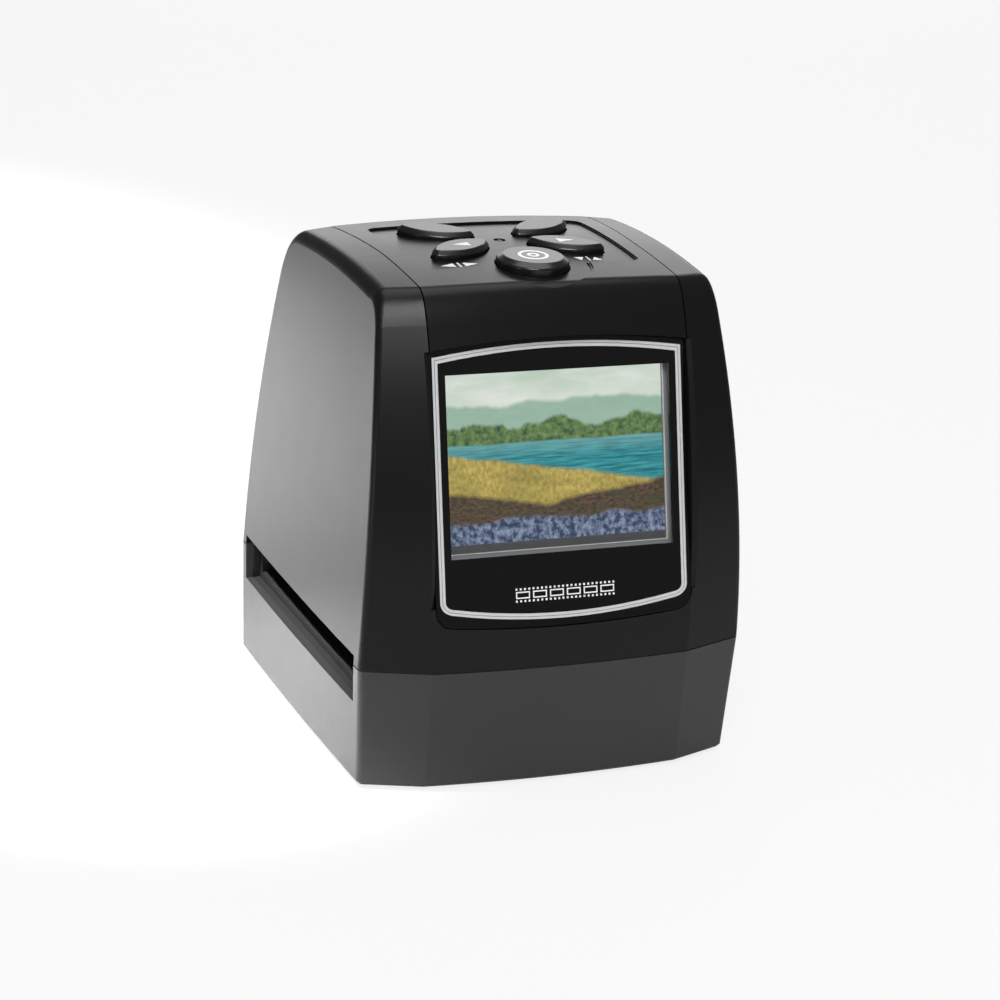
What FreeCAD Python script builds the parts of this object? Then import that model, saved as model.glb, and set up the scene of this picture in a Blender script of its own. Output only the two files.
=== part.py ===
import FreeCAD, Part
import math
import os
import re
import Sketcher

# Film negative scanner: a tapered desktop box with a tilted screen in front,
# five buttons on top and a slot right through it for the film holder.
# X runs to the right, Y to the back, Z up. The body's own heights are counted
# from the underside of its base, and every piece is lifted by the rubber feet.

Vector = FreeCAD.Vector
Rotation = FreeCAD.Rotation
Placement = FreeCAD.Placement

doc = FreeCAD.newDocument("film_scanner")
sheet = doc.addObject("Spreadsheet::Sheet", "dims")

# Driving dimensions, in millimetres and degrees.
SIZES = [
    # Body outline.
    ("base_half_width", 41.74, "half width at the underside"),
    ("body_half_width", 43.03, "half width at the parting line"),
    ("waist_half_width", 40.95, "half width halfway between the parting line and the top"),
    ("top_half_width", 36.9, "half width at the crown"),
    ("side_bow", 0.6, "how far each side swells between its corners"),
    ("front_reach", 42.58, "front centre from the origin at the parting line"),
    ("base_front_reach", 42.0, "front centre from the origin at the underside"),
    ("rear_reach", 42.6, "rear centre from the origin"),
    ("parting_height", 26.0, "height of the parting line between base and housing"),
    ("fold_drop", 7.28, "drop from the crown to where the front starts to fold"),
    ("fold_height", "=crown_height - fold_drop", "height where the front starts to fold into the top"),
    ("front_half_setback", 4.23, "how far the front leans back halfway up to the fold"),
    ("front_fold_setback", 16.04, "how far the front leans back at the fold"),
    ("fold_depth", 5.9, "how far back the fold reaches"),
    ("crown_height", 102.78, "height of the top along the seams, at its highest"),
    ("crown_front_fall", 0.8, "fall of the top from its highest place to the fold"),
    ("crown_rear_fall", 1.9, "fall of the top from its highest place to the rear corner"),
    ("crown_offset", 1.8, "highest place of the top behind the origin"),
    ("rear_corner_reach", 30.6, "start of the rear top corner behind the origin"),
    ("rear_corner_drop", 12.78, "drop from the crown to the end of the rear top corner"),
    ("rear_corner_height", "=crown_height - rear_corner_drop", "height where the rear top corner ends"),
    ("rear_lean_start", 35.0, "height where the rear starts to lean forward"),
    ("rear_lean", 4.0, "how far the rear leans forward at the top corner"),
    ("seam_half_width", 28.75, "half width between the two seams"),
    ("front_bow", 1.4, "bow of the front between the seams"),
    ("front_strip_fall", 4.95, "how far the front strips fall back from seam to corner"),
    ("rear_bow", 0.7, "bow of the rear between the seams"),
    ("rear_strip_fall", 1.4, "how far the rear strips come forward from seam to corner"),
    ("crown_bow", 0.7, "rise of the top between the seams"),
    ("crown_strip_fall", 1.18, "fall of the top from seam to side edge"),
    ("outer_margin", 7.0, "how far the working blocks run past the body before they are trimmed"),
    ("edge_radius", 1.6, "rounding of the upright outer edges"),
    ("top_edge_radius", 3.2, "rounding of the top's two side edges"),
    ("underside_bevel", 0.7, "bevel of the bottom edge"),
    ("overrun", 1.0, "how far a cut runs past what it cuts"),
    ("slip_gap", 0.1, "gap between pieces that are fastened face to face"),
    ("running_gap", 0.3, "gap round pieces that move"),
    # Shells and seams.
    ("wall", 2.0, "wall of the base and the housing"),
    ("cover_wall", 1.8, "wall of the top cover"),
    ("ledge_depth", 3.6, "depth of the ledge that carries the top cover"),
    ("ledge_width", 2.4, "how far the ledge reaches under the top cover"),
    ("seam_gap", 0.3, "dark groove between the top cover and the housing"),
    ("seam_spread", 1.3, "how far the seams spread apart towards the rear"),
    ("cover_rear_drop", 18.78, "drop from the crown to the top cover's rear end"),
    ("cover_rear_height", "=crown_height - cover_rear_drop", "height where the top cover ends on the rear"),
    ("parting_groove", 0.3, "depth and height of the groove at the parting line"),
    ("hook_width", 9.0, "width of the rear hooks"),
    ("hook_thickness", 1.1, "thickness of the rear hooks"),
    ("hook_height", 5.0, "how far the rear hooks rise over the parting line"),
    ("hook_spacing", 40.0, "distance between the rear hooks"),
    # Side slots and film track.
    ("slot_sill_height", 17.8, "height of the sill of the side slots"),
    ("slot_height", 10.2, "height of the side slots"),
    ("slot_front_reach", 33.0, "front end of the side slots ahead of the origin"),
    ("slot_rear_reach", 37.3, "rear end of the side slots behind the origin"),
    ("slot_rim", 2.0, "thickness of the rim round each side slot"),
    ("track_half_length", 39.4, "half length of the film track"),
    ("track_floor_height", 19.3, "height of the floor that the film holder slides on"),
    ("channel_height", 8.2, "height of the film channel"),
    ("channel_inset", 1.0, "how much narrower the channel is than the slot, each end"),
    ("rail", 2.0, "thickness of the rails at the sides of the channel"),
    ("track_plate", 2.0, "thickness of the track's two plates"),
    ("frame_window_width", 40.0, "width of the window over one film frame"),
    ("frame_window_depth", 30.0, "depth of the window over one film frame"),
    # Light under the film.
    ("light_board_width", 56.0, "width of the light board"),
    ("light_board_depth", 46.0, "depth of the light board"),
    ("small_board", 1.2, "thickness of the small circuit boards"),
    ("light_board_height", 5.0, "height of the light board over the underside"),
    ("light_box_width", 46.0, "outer width of the light box"),
    ("light_box_depth", 40.0, "outer depth of the light box"),
    ("light_box_wall", 1.5, "wall of the light box"),
    ("diffuser", 1.5, "thickness of the light diffuser"),
    ("lamp_length", 3.5, "length of one light-emitting chip"),
    ("lamp_width", 2.8, "width of one light-emitting chip"),
    ("lamp_height", 1.4, "height of one light-emitting chip"),
    ("lamp_pitch", 11.0, "spacing of the light-emitting chips"),
    # Camera over the film.
    ("tower_base_width", 44.0, "width of the camera tower at its foot"),
    ("tower_base_depth", 34.0, "depth of the camera tower at its foot"),
    ("tower_top_size", 28.0, "width and depth of the camera tower at its top"),
    ("tower_height", 50.0, "height of the camera tower over its flange"),
    ("tower_wall", 1.8, "wall of the camera tower"),
    ("tower_flange", 2.0, "thickness of the camera tower's flange"),
    ("flange_width", 56.0, "width of the camera tower's flange"),
    ("lens_radius", 6.0, "outer radius of the lens barrel"),
    ("lens_length", 13.0, "length of the lens barrel"),
    ("lens_rise", 1.2, "how far the lens barrel stays below the tower's top"),
    ("lens_wall", 1.3, "wall of the lens barrel"),
    ("lens_glass_thickness", 2.6, "thickness of the lens"),
    ("collar_wall", 2.0, "wall of the collar that holds the lens barrel"),
    ("collar_length", 9.0, "length of the collar that holds the lens barrel"),
    ("sensor_board_size", 26.0, "width and depth of the sensor board"),
    ("sensor_size", 8.0, "width and depth of the image sensor"),
    ("sensor_height", 0.9, "height of the image sensor"),
    # Boards and sockets.
    ("main_board_half_width", 37.0, "half width of the main board"),
    ("main_board_front_reach", 32.5, "front edge of the main board ahead of the origin"),
    ("main_board_rear_reach", 38.0, "rear edge of the main board behind the origin"),
    ("main_board", 1.6, "thickness of the main board"),
    ("board_post_height", 6.5, "height of the posts that carry the main board"),
    ("post_radius", 2.8, "radius of the posts and bosses"),
    ("board_margin", 4.0, "distance of the board screws from the board's edges"),
    ("tower_gap", 1.2, "gap between the main board and the camera tower"),
    ("port_gap", 0.4, "gap between each socket and its opening"),
    ("port_recess", 0.7, "how far the sockets stay inside the rear wall"),
    ("data_port_width", 7.7, "width of the data socket"),
    ("data_port_height", 3.9, "height of the data socket"),
    ("data_port_length", 9.2, "length of the data socket"),
    ("data_port_offset", 22.0, "data socket left of the centre"),
    ("sheet_metal", 0.35, "thickness of the sockets' sheet metal"),
    ("jack_width", 7.0, "width and height of the picture socket's body"),
    ("jack_length", 12.0, "length of the picture socket's body"),
    ("jack_nose_radius", 2.9, "outer radius of the picture socket's nose"),
    ("jack_nose_length", 2.6, "length of the picture socket's nose"),
    ("jack_bore_radius", 1.8, "radius of the picture socket's bore"),
    ("jack_offset", 7.0, "picture socket left of the centre"),
    ("card_slot_width", 24.6, "width of the card socket's mouth"),
    ("card_slot_height", 2.5, "height of the card socket's mouth"),
    ("card_length", 20.0, "length of the card socket"),
    ("card_offset", 17.0, "card socket right of the centre"),
    ("card_side", 1.2, "side walls of the card socket"),
    ("chip_size", 11.0, "width and depth of the processor"),
    ("chip_height", 1.2, "height of the chips on the main board"),
    ("memory_width", 8.0, "width of the memory chip"),
    ("memory_depth", 12.0, "depth of the memory chip"),
    ("capacitor_radius", 2.5, "radius of the capacitors"),
    ("capacitor_height", 5.4, "height of the capacitors"),
    ("capacitor_pitch", 7.5, "spacing of the capacitors"),
    ("memory_reach", 16.5, "memory chip ahead of the processor"),
    ("chip_reach", 30.0, "chips left and right of the centre"),
    ("connector_margin", 0.7, "how far a ribbon's connector reaches past the ribbon"),
    ("connector_depth", 3.0, "depth of a ribbon's connector"),
    ("connector_height", 1.5, "height of a ribbon's connector"),
    # Screen.
    ("screen_tilt", 15.7, "how far the screen leans back"),
    ("window_top_drop", 17.41, "drop from the crown to the window's top edge"),
    ("window_top_height", "=crown_height - window_top_drop", "height of the window's top edge"),
    ("bezel_setback", 3.5, "how deep the bezel lies behind the front at the window's top edge"),
    ("window_width", 50.0, "width of the screen window"),
    ("window_height", 37.6, "height of the screen window"),
    ("bezel_side_top", 5.0, "bezel above the window at its sides"),
    ("bezel_top_rise", 1.9, "rise of the bezel's top edge in the middle"),
    ("bezel_chin", 13.9, "bezel below the window at its sides"),
    ("bezel_chin_drop", 1.5, "drop of the bezel's bottom edge in the middle"),
    ("bezel_corner", 4.0, "radius of the bezel's lower corners"),
    ("bezel_top_corner", 1.0, "radius of the bezel's upper corners"),
    ("bezel_gap", 0.2, "gap round the bezel in its recess"),
    ("bezel_thickness", 1.2, "thickness of the bezel"),
    ("pane_thickness", 0.6, "thickness of the clear pane"),
    ("pane_lip", 2.0, "how far the pane reaches under the bezel"),
    ("recess_floor", 1.6, "thickness of the floor that carries the bezel"),
    ("recess_wall", 1.6, "wall round the bezel's recess"),
    ("recess_bevel", 0.9, "slope along the upright edges of the bezel's recess"),
    ("screen_opening_margin", 1.6, "how far the opening behind the bezel clears the window"),
    ("panel_width", 59.0, "width of the screen panel"),
    ("panel_height", 42.7, "height of the screen panel"),
    ("panel_thickness", 2.4, "thickness of the screen panel"),
    ("panel_rise", 2.8, "how far the screen panel reaches above the window"),
    ("panel_shift", 1.0, "screen panel's centre right of the window's centre"),
    ("carrier_side_rim", 1.6, "rim of the screen carrier beside the panel"),
    ("carrier_rim", 4.4, "rim of the screen carrier over and under the panel"),
    ("carrier_window_margin", 6.0, "frame that the carrier keeps behind the panel's edges"),
    ("carrier_back", 1.2, "thickness of the screen carrier behind the panel"),
    ("carrier_screw_spread", 19.67, "screws of the screen carrier left and right of its middle"),
    # Top panel and buttons.
    ("panel_recess", 0.5, "depth of the shallow field that holds the buttons"),
    ("field_step", 0.4, "width of the step round the button field"),
    ("field_half_width", 24.4, "half width of the button field"),
    ("field_front_reach", 10.5, "front edge of the button field ahead of the origin"),
    ("field_rear_reach", 23.0, "rear edge of the button field behind the origin"),
    ("field_corner", 2.2, "corner radius of the button field"),
    ("scan_halo_radius", 12.3, "radius of the raised round place at the scan button"),
    ("scan_reach", 10.3, "scan button ahead of the origin"),
    ("scan_radius", 7.7, "radius of the scan button's skirt"),
    ("scan_face_radius", 6.2, "radius of the scan button's face"),
    ("button_proud", 1.6, "how far the buttons stand above the top"),
    ("scan_drop", 0.2, "how much lower the scan button's face is than the top's highest place"),
    ("rear_leaf_drop", 0.38, "how much lower the rear pair of leaf-shaped buttons stands"),
    ("rear_flange_drop", 0.63, "how much lower the flanges of the rear pair sit"),
    ("button_chamfer", 0.9, "slope round the buttons' faces"),
    ("button_edge", 0.5, "rounding of the buttons' faces"),
    ("button_flange", 0.8, "thickness of the flange that keeps a button in"),
    ("button_flange_reach", 0.8, "how far that flange reaches past the skirt"),
    ("button_travel", 0.6, "travel of the buttons"),
    ("leaf_length", 17.6, "length of the leaf-shaped buttons"),
    ("leaf_width", 8.4, "width of the leaf-shaped buttons"),
    ("leaf_tip", 1.6, "rounding of the leaf's tips"),
    ("leaf_angle", 27.0, "turn of the leaf-shaped buttons"),
    ("leaf_spread", 12.0, "leaf-shaped buttons left and right of the centre"),
    ("leaf_rear_reach", 14.4, "rear pair of leaf-shaped buttons behind the origin"),
    ("leaf_front_reach", 0.2, "front pair of leaf-shaped buttons behind the origin"),
    ("stem_radius", 1.8, "radius of the stem under each button"),
    ("switch_size", 6.0, "width and depth of one switch"),
    ("switch_height", 2.6, "height of one switch"),
    ("plunger_radius", 1.5, "radius of a switch's plunger"),
    ("plunger_rise", 0.9, "how far a plunger stands out of its switch"),
    ("plunger_depth", 1.2, "how far a plunger reaches into its switch"),
    ("button_board_drop", 8.38, "drop from the crown to the button board"),
    ("button_board_height", "=crown_height - button_board_drop", "height of the button board over the underside"),
    ("button_board_half_width", 22.0, "half width of the button board"),
    ("button_board_front_reach", 15.0, "front edge of the button board ahead of the origin"),
    ("button_board_rear_reach", 26.0, "rear edge of the button board behind the origin"),
    ("light_hole_radius", 1.3, "radius of the hole for the indicator"),
    ("light_reach", 7.8, "indicator behind the origin"),
    ("clip_width", 7.0, "width of the clips under the top cover"),
    ("clip_thickness", 1.1, "thickness of the clips under the top cover"),
    ("clip_depth", 5.2, "how far the clips reach below the top cover"),
    ("clip_front_reach", 12.0, "front clips ahead of the origin"),
    ("clip_rear_reach", 20.0, "rear clips behind the origin"),
    # Detent in the film track.
    ("detent_radius", 1.3, "radius of the detent pin"),
    ("detent_nose", 1.0, "how far the detent pin reaches into the channel"),
    ("detent_block_width", 8.0, "width of the block that holds the detent"),
    ("detent_block_drop", 7.6, "how far the detent's block reaches under the track's floor"),
    ("detent_inset", 3.0, "detent pin behind the channel's front"),
    ("detent_head_radius", 1.9, "radius of the detent pin's head"),
    ("detent_head_length", 0.8, "length of the detent pin's head"),
    ("detent_cap", 1.0, "thickness of the cap that closes the detent"),
    ("detent_collar", 0.8, "stop over the detent pin's head, under the track's floor"),
    ("detent_bore_gap", 0.05, "gap round the detent pin in its bore"),
    ("spring_wire", 0.35, "wire of the detent spring"),
    ("spring_coils", 4.0, "turns of the detent spring"),
    ("leg_inset", 5.6, "legs of the film track inside its ends"),
    ("flange_screw_reach", 11.33, "screws of the camera tower ahead of and behind the lens"),
    # Feet and screws.
    ("foot_proud", 0.8, "how far the feet stand out of the underside"),
    ("foot_radius", 4.0, "radius of the feet"),
    ("foot_seat", 0.6, "depth of the seats of the feet"),
    ("foot_half_spread", 32.0, "feet left and right of the centre"),
    ("foot_front_reach", 26.0, "front feet ahead of the origin"),
    ("foot_rear_reach", 31.0, "rear feet behind the origin"),
    ("screw_radius", 1.1, "radius of a screw's shank"),
    ("screw_head_radius", 2.0, "radius of a screw's head"),
    ("screw_head", 1.2, "height of a screw's head"),
    ("screw_drive", 0.5, "width and depth of the cross in a screw's head"),
    ("screw_drive_reach", 2.8, "length of the cross in a screw's head"),
    ("small_screw_length", 4.5, "length of the short screws"),
    ("base_screw_half_spread", 21.0, "base screws left and right of the centre"),
    ("base_screw_inset", 4.9, "base screws behind the front face"),
    ("base_screw_length", 9.0, "length of the base screws over their seat"),
    ("base_screw_seat", 20.0, "height of the seat of the base screws"),
    ("ribbon", 0.3, "thickness of the flat ribbon leads"),
    ("ribbon_width", 9.0, "width of the flat ribbon leads"),
    ("screen_ribbon_bend", 4.0, "how far the screen's ribbon runs back before it drops"),
    ("sensor_ribbon_reach", 19.0, "sensor's ribbon ahead of the origin"),
    ("button_ribbon_reach", 24.0, "button board's ribbon behind the origin"),
    ("button_ribbon_offset", 8.0, "button board's ribbon left of the centre"),
    ("light_ribbon_reach", 36.0, "light board's ribbon ahead of the origin"),
    ("light_ribbon_offset", 12.0, "light board's ribbon right of the centre"),
    ("light_connector_reach", 29.4, "light board's connector ahead of the origin"),
]

NAMES = {name for name, value, note in SIZES}


# Plain sizes go in first, so that the sizes worked out from them find them.
def fill_sheet():
    rows = list(enumerate(SIZES, start=1))
    for row, (name, value, note) in rows:
        sheet.set(f"A{row}", note)
        sheet.setAlias(f"B{row}", name)
        if not isinstance(value, str):
            sheet.set(f"B{row}", str(value))
    doc.recompute()
    for row, (name, value, note) in rows:
        if isinstance(value, str):
            sheet.set(f"B{row}", value)
    doc.recompute()


def size(name):
    return float(sheet.get(name))


fill_sheet()


# Formulas are written with the sheet's plain names and bound to the sheet.
def formula(text):
    def cell(match):
        word = match.group(0)
        if word not in NAMES:
            raise ValueError("no size is called " + word)
        return "dims." + word
    return re.sub(r"[a-z_]+", cell, str(text))


def bind(thing, **formulas):
    for prop, text in formulas.items():
        thing.setExpression(prop, formula(text))


def place(thing, x, y, z):
    thing.setExpression("Placement.Base.x", formula(x))
    thing.setExpression("Placement.Base.y", formula(y))
    thing.setExpression("Placement.Base.z", formula(z))


def block(name, width, depth, height, x="0", y="0", z="0"):
    """A box whose middle is at x and y and whose underside is at z."""
    thing = doc.addObject("Part::Box", name)
    bind(thing, Length=width, Width=depth, Height=height)
    place(thing, f"{x} - ({width}) / 2", f"{y} - ({depth}) / 2", z)
    return thing


def span(name, x, y, z):
    """A box from the first to the second value along each axis."""
    thing = doc.addObject("Part::Box", name)
    bind(
        thing,
        Length=f"({x[1]}) - ({x[0]})",
        Width=f"({y[1]}) - ({y[0]})",
        Height=f"({z[1]}) - ({z[0]})",
    )
    place(thing, x[0], y[0], z[0])
    return thing


TURNS = {
    "Z": Rotation(),
    "-Z": Rotation(Vector(1, 0, 0), 180),
    "Y": Rotation(Vector(1, 0, 0), -90),
    "-Y": Rotation(Vector(1, 0, 0), 90),
    "X": Rotation(Vector(0, 1, 0), 90),
}


def rod(name, radius, length, x="0", y="0", z="0", axis="Z"):
    """A cylinder that starts at the given point and runs along the axis."""
    thing = doc.addObject("Part::Cylinder", name)
    bind(thing, Radius=radius, Height=length)
    thing.Placement = Placement(Vector(), TURNS[axis])
    place(thing, x, y, z)
    return thing


def cut(name, base, *tools):
    tool = tools[0]
    if len(tools) > 1:
        tool = fuse(name + "_tools", *tools)
    thing = doc.addObject("Part::Cut", name)
    thing.Base = base
    thing.Tool = tool
    return thing


def fuse(name, *things):
    thing = doc.addObject("Part::MultiFuse", name)
    thing.Shapes = list(things)
    return thing


def group(name, *things):
    thing = doc.addObject("Part::Compound", name)
    thing.Links = list(things)
    return thing


def fixed_shape(name, shape):
    thing = doc.addObject("Part::Feature", name)
    thing.Shape = shape
    return thing


# Finished pieces, in the order in which they are written.
PIECES = []


def free_of_place(thing):
    """A plain block or rod already has a place of its own, so it is wrapped before it moves as a piece."""
    if thing.TypeId in ("Part::Box", "Part::Cylinder"):
        return group(thing.Name + "_piece", thing)
    return thing


def piece(name, thing):
    """Names a finished piece and lifts it by the rubber feet."""
    thing = free_of_place(thing)
    thing.Label = name
    thing.setExpression("Placement.Base.z", formula("foot_proud"))
    PIECES.append(thing)
    return thing


def piece_at(name, thing, x, y, z, rotation=None):
    """Names a finished piece that was drawn round its own origin and puts it in its place."""
    thing.Label = name
    if rotation is not None:
        thing.Placement = Placement(Vector(), rotation)
    place(thing, x, y, f"{z} + foot_proud")
    PIECES.append(thing)
    return thing


def screen_piece(name, thing):
    """Names a finished piece that was drawn on the tilted face of the screen."""
    thing = free_of_place(thing)
    thing.Label = name
    lift = Vector(0, 0, size("foot_proud"))
    thing.Placement = Placement(screen_frame().Base + lift, screen_frame().Rotation)
    PIECES.append(thing)
    return thing


# Bodies made of sketches.
def new_body(name):
    return doc.addObject("PartDesign::Body", name)


def new_sketch(body, name, role="XY_Plane", height="0"):
    sketch = body.newObject("Sketcher::SketchObject", name)
    plane = next(item for item in body.Origin.OriginFeatures if item.Role == role)
    sketch.AttachmentSupport = [(plane, "")]
    sketch.MapMode = "FlatFace"
    if height != "0":
        sketch.setExpression("AttachmentOffset.Base.z", formula(height))
    return sketch


def name_last(sketch, name, text):
    sketch.renameConstraint(sketch.ConstraintCount - 1, name)
    sketch.setExpression("Constraints." + name, formula(text))


def value_of(text):
    """The number that a formula has now, to draw a sketch near its final form."""
    return float(sheet.evalExpression(formula(text)))


def draw_rectangle(sketch, name, width, depth, x="0", y="0"):
    half_width = value_of(width) / 2
    half_depth = value_of(depth) / 2
    centre_x = value_of(x)
    centre_y = value_of(y)
    corners = [
        Vector(centre_x - half_width, centre_y - half_depth),
        Vector(centre_x + half_width, centre_y - half_depth),
        Vector(centre_x + half_width, centre_y + half_depth),
        Vector(centre_x - half_width, centre_y + half_depth),
    ]
    first = sketch.GeometryCount
    for number in range(4):
        sketch.addGeometry(Part.LineSegment(corners[number], corners[(number + 1) % 4]))
    for number in range(4):
        sketch.addConstraint(
            Sketcher.Constraint("Coincident", first + number, 2, first + (number + 1) % 4, 1)
        )
    for number in (0, 2):
        sketch.addConstraint(Sketcher.Constraint("Horizontal", first + number))
    for number in (1, 3):
        sketch.addConstraint(Sketcher.Constraint("Vertical", first + number))
    sketch.addConstraint(Sketcher.Constraint("DistanceX", first, 1, first, 2, 2 * half_width))
    name_last(sketch, name + "_width", width)
    sketch.addConstraint(Sketcher.Constraint("DistanceY", first + 1, 1, first + 1, 2, 2 * half_depth))
    name_last(sketch, name + "_depth", depth)
    sketch.addConstraint(Sketcher.Constraint("DistanceX", -1, 1, first, 1, corners[0].x))
    name_last(sketch, name + "_left", f"{x} - ({width}) / 2")
    sketch.addConstraint(Sketcher.Constraint("DistanceY", -1, 1, first, 1, corners[0].y))
    name_last(sketch, name + "_low", f"{y} - ({depth}) / 2")


def draw_circle(sketch, name, radius, x="0", y="0"):
    centre = Vector(value_of(x), value_of(y))
    index = sketch.addGeometry(Part.Circle(centre, Vector(0, 0, 1), value_of(radius)))
    sketch.addConstraint(Sketcher.Constraint("Radius", index, value_of(radius)))
    name_last(sketch, name + "_radius", radius)
    if x == "0" and y == "0":
        sketch.addConstraint(Sketcher.Constraint("Coincident", index, 3, -1, 1))
        return
    sketch.addConstraint(Sketcher.Constraint("DistanceX", -1, 1, index, 3, centre.x))
    name_last(sketch, name + "_x", x)
    sketch.addConstraint(Sketcher.Constraint("DistanceY", -1, 1, index, 3, centre.y))
    name_last(sketch, name + "_y", y)


def draw_outline(sketch, name, corners):
    """A closed outline of straight lines, whose corners are pairs of formulas."""
    points = [Vector(value_of(x), value_of(y)) for x, y in corners]
    count = len(points)
    first = sketch.GeometryCount
    for number in range(count):
        sketch.addGeometry(Part.LineSegment(points[number], points[(number + 1) % count]))
    for number in range(count):
        sketch.addConstraint(
            Sketcher.Constraint("Coincident", first + number, 2, first + (number + 1) % count, 1)
        )
    for number, (x, y) in enumerate(corners):
        point = points[number]
        if x == "0":
            sketch.addConstraint(Sketcher.Constraint("PointOnObject", first + number, 1, -2))
        else:
            sketch.addConstraint(Sketcher.Constraint("DistanceX", -1, 1, first + number, 1, point.x))
            name_last(sketch, f"{name}_x_{number}", x)
        if y == "0":
            sketch.addConstraint(Sketcher.Constraint("PointOnObject", first + number, 1, -1))
        else:
            sketch.addConstraint(Sketcher.Constraint("DistanceY", -1, 1, first + number, 1, point.y))
            name_last(sketch, f"{name}_y_{number}", y)


def pad(body, name, sketch, length, reverse=False):
    feature = body.newObject("PartDesign::Pad", name)
    feature.Profile = sketch
    bind(feature, Length=length)
    feature.Reversed = reverse
    sketch.Visibility = False
    doc.recompute()
    return feature


def pocket(body, name, sketch, length, reverse=False):
    before = body.Shape.Volume
    feature = body.newObject("PartDesign::Pocket", name)
    feature.Profile = sketch
    bind(feature, Length=length)
    feature.Reversed = reverse
    doc.recompute()
    if not body.Shape.Volume < before:
        raise RuntimeError(name + " cuts nothing")
    return feature


def revolve(body, name, sketch, axis="V_Axis"):
    feature = body.newObject("PartDesign::Revolution", name)
    feature.Profile = sketch
    feature.ReferenceAxis = (sketch, [axis])
    feature.Angle = 360
    doc.recompute()
    return feature


# Outline of the body. A profile in the plane of Y and Z is repeated across the width,
# set back by the bow of the front, the rear and the top.
def strip_share(x):
    """How far a place lies from the seam towards the side edge, as a share."""
    strip_width = size("body_half_width") - size("seam_half_width")
    return (abs(x) - size("seam_half_width")) / strip_width


def setback(x, bow, fall):
    seam = size("seam_half_width")
    if abs(x) > seam:
        return bow + fall * strip_share(x)
    return bow * (x / seam) ** 2


def front_y(z):
    """The front's centre line, and its slope, at a height."""
    rise = size("fold_height") - size("parting_height")
    share = (z - size("parting_height")) / rise
    lean = 4 * size("front_half_setback") - size("front_fold_setback")
    curve = size("front_fold_setback") - lean
    y = -size("front_reach") + lean * share + curve * share ** 2
    slope = (lean + 2 * curve * share) / rise
    return y, slope


def top_z(y):
    """The top along the seams, and its slope, at a depth."""
    offset = y - size("crown_offset")
    if offset > 0:
        fall = size("crown_rear_fall")
        reach = size("rear_corner_reach") - size("crown_offset")
    else:
        fall = size("crown_front_fall")
        reach = fold_end() + size("crown_offset")
    z = size("crown_height") - fall * (offset / reach) ** 2
    slope = -2 * fall * offset / reach ** 2
    return z, slope


def fold_end():
    """How far the end of the fold lies ahead of the origin, at the centre."""
    return -front_y(size("fold_height"))[0] - size("fold_depth")


def rear_y(z):
    """The rear's centre line, and its slope, at a height."""
    reach = size("rear_corner_height") - size("rear_lean_start")
    share = (z - size("rear_lean_start")) / reach
    if share < 0:
        share = 0
    y = size("rear_reach") - size("rear_lean") * share ** 2
    slope = -2 * size("rear_lean") * share / reach
    return y, slope


def curve_between(start, end, middle):
    curve = Part.BezierCurve()
    curve.setPoles([start, middle, end])
    return curve.toShape()


def meeting(point_a, slope_a, point_b, slope_b):
    """Where the line of slope dy/dz through a meets the line of slope dz/dy through b."""
    y_a, z_a = point_a
    y_b, z_b = point_b
    y = (y_a + slope_a * (z_b - slope_b * y_b - z_a)) / (1 - slope_a * slope_b)
    z = z_b + slope_b * (y - y_b)
    return y, z


def body_section(x, inset, low):
    """One closed profile of the upper body at a place across the width."""
    front_shift = setback(x, size("front_bow"), size("front_strip_fall")) + inset
    rear_shift = -setback(x, size("rear_bow"), size("rear_strip_fall")) - inset
    top_shift = size("crown_bow") - setback(x, size("crown_bow"), size("crown_strip_fall")) - inset
    fold_z = size("fold_height") + top_shift
    corner_z = size("rear_corner_height") + top_shift

    low_y, low_slope = front_y(low)
    fold_y, fold_slope = front_y(fold_z)
    crown_front = -fold_end()
    crown_z, crown_slope = top_z(crown_front)
    rear_crown = size("rear_corner_reach") - size("rear_bow") - size("rear_strip_fall")
    rear_crown_z, rear_crown_slope = top_z(rear_crown)
    peak_z, peak_slope = top_z(size("crown_offset"))
    corner_y, corner_slope = rear_y(corner_z)
    straight_y, straight_slope = rear_y(size("rear_lean_start"))

    start = (low_y + front_shift, low)
    fold = (fold_y + front_shift, fold_z)
    crown = (crown_front + front_shift, crown_z + top_shift)
    peak = (size("crown_offset"), peak_z + top_shift)
    rear_top = (rear_crown + size("rear_bow") + rear_shift, rear_crown_z + top_shift)
    corner = (corner_y + rear_shift, corner_z)
    straight = (straight_y + rear_shift, size("rear_lean_start"))
    foot = (straight_y + rear_shift, low)

    half_rise = (fold[1] - start[1]) / 2
    front_middle = (start[0] + low_slope * half_rise, start[1] + half_rise)
    fold_middle = meeting(fold, fold_slope, crown, crown_slope)
    crown_half = (peak[0] + crown[0]) / 2
    crown_middle = (crown_half, peak[1])
    rear_half = (peak[0] + rear_top[0]) / 2
    rear_crown_middle = (rear_half, peak[1])
    corner_middle = meeting(corner, corner_slope, rear_top, rear_crown_slope)
    rear_middle = (straight[0], (straight[1] + corner[1]) / 2)

    def at(pair):
        return Vector(x, pair[0], pair[1])

    return Part.Wire([
        curve_between(at(start), at(fold), at(front_middle)),
        curve_between(at(fold), at(crown), at(fold_middle)),
        curve_between(at(crown), at(peak), at(crown_middle)),
        curve_between(at(peak), at(rear_top), at(rear_crown_middle)),
        curve_between(at(rear_top), at(corner), at(corner_middle)),
        curve_between(at(corner), at(straight), at(rear_middle)),
        Part.makeLine(at(straight), at(foot)),
        Part.makeLine(at(foot), at(start)),
    ])


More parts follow.
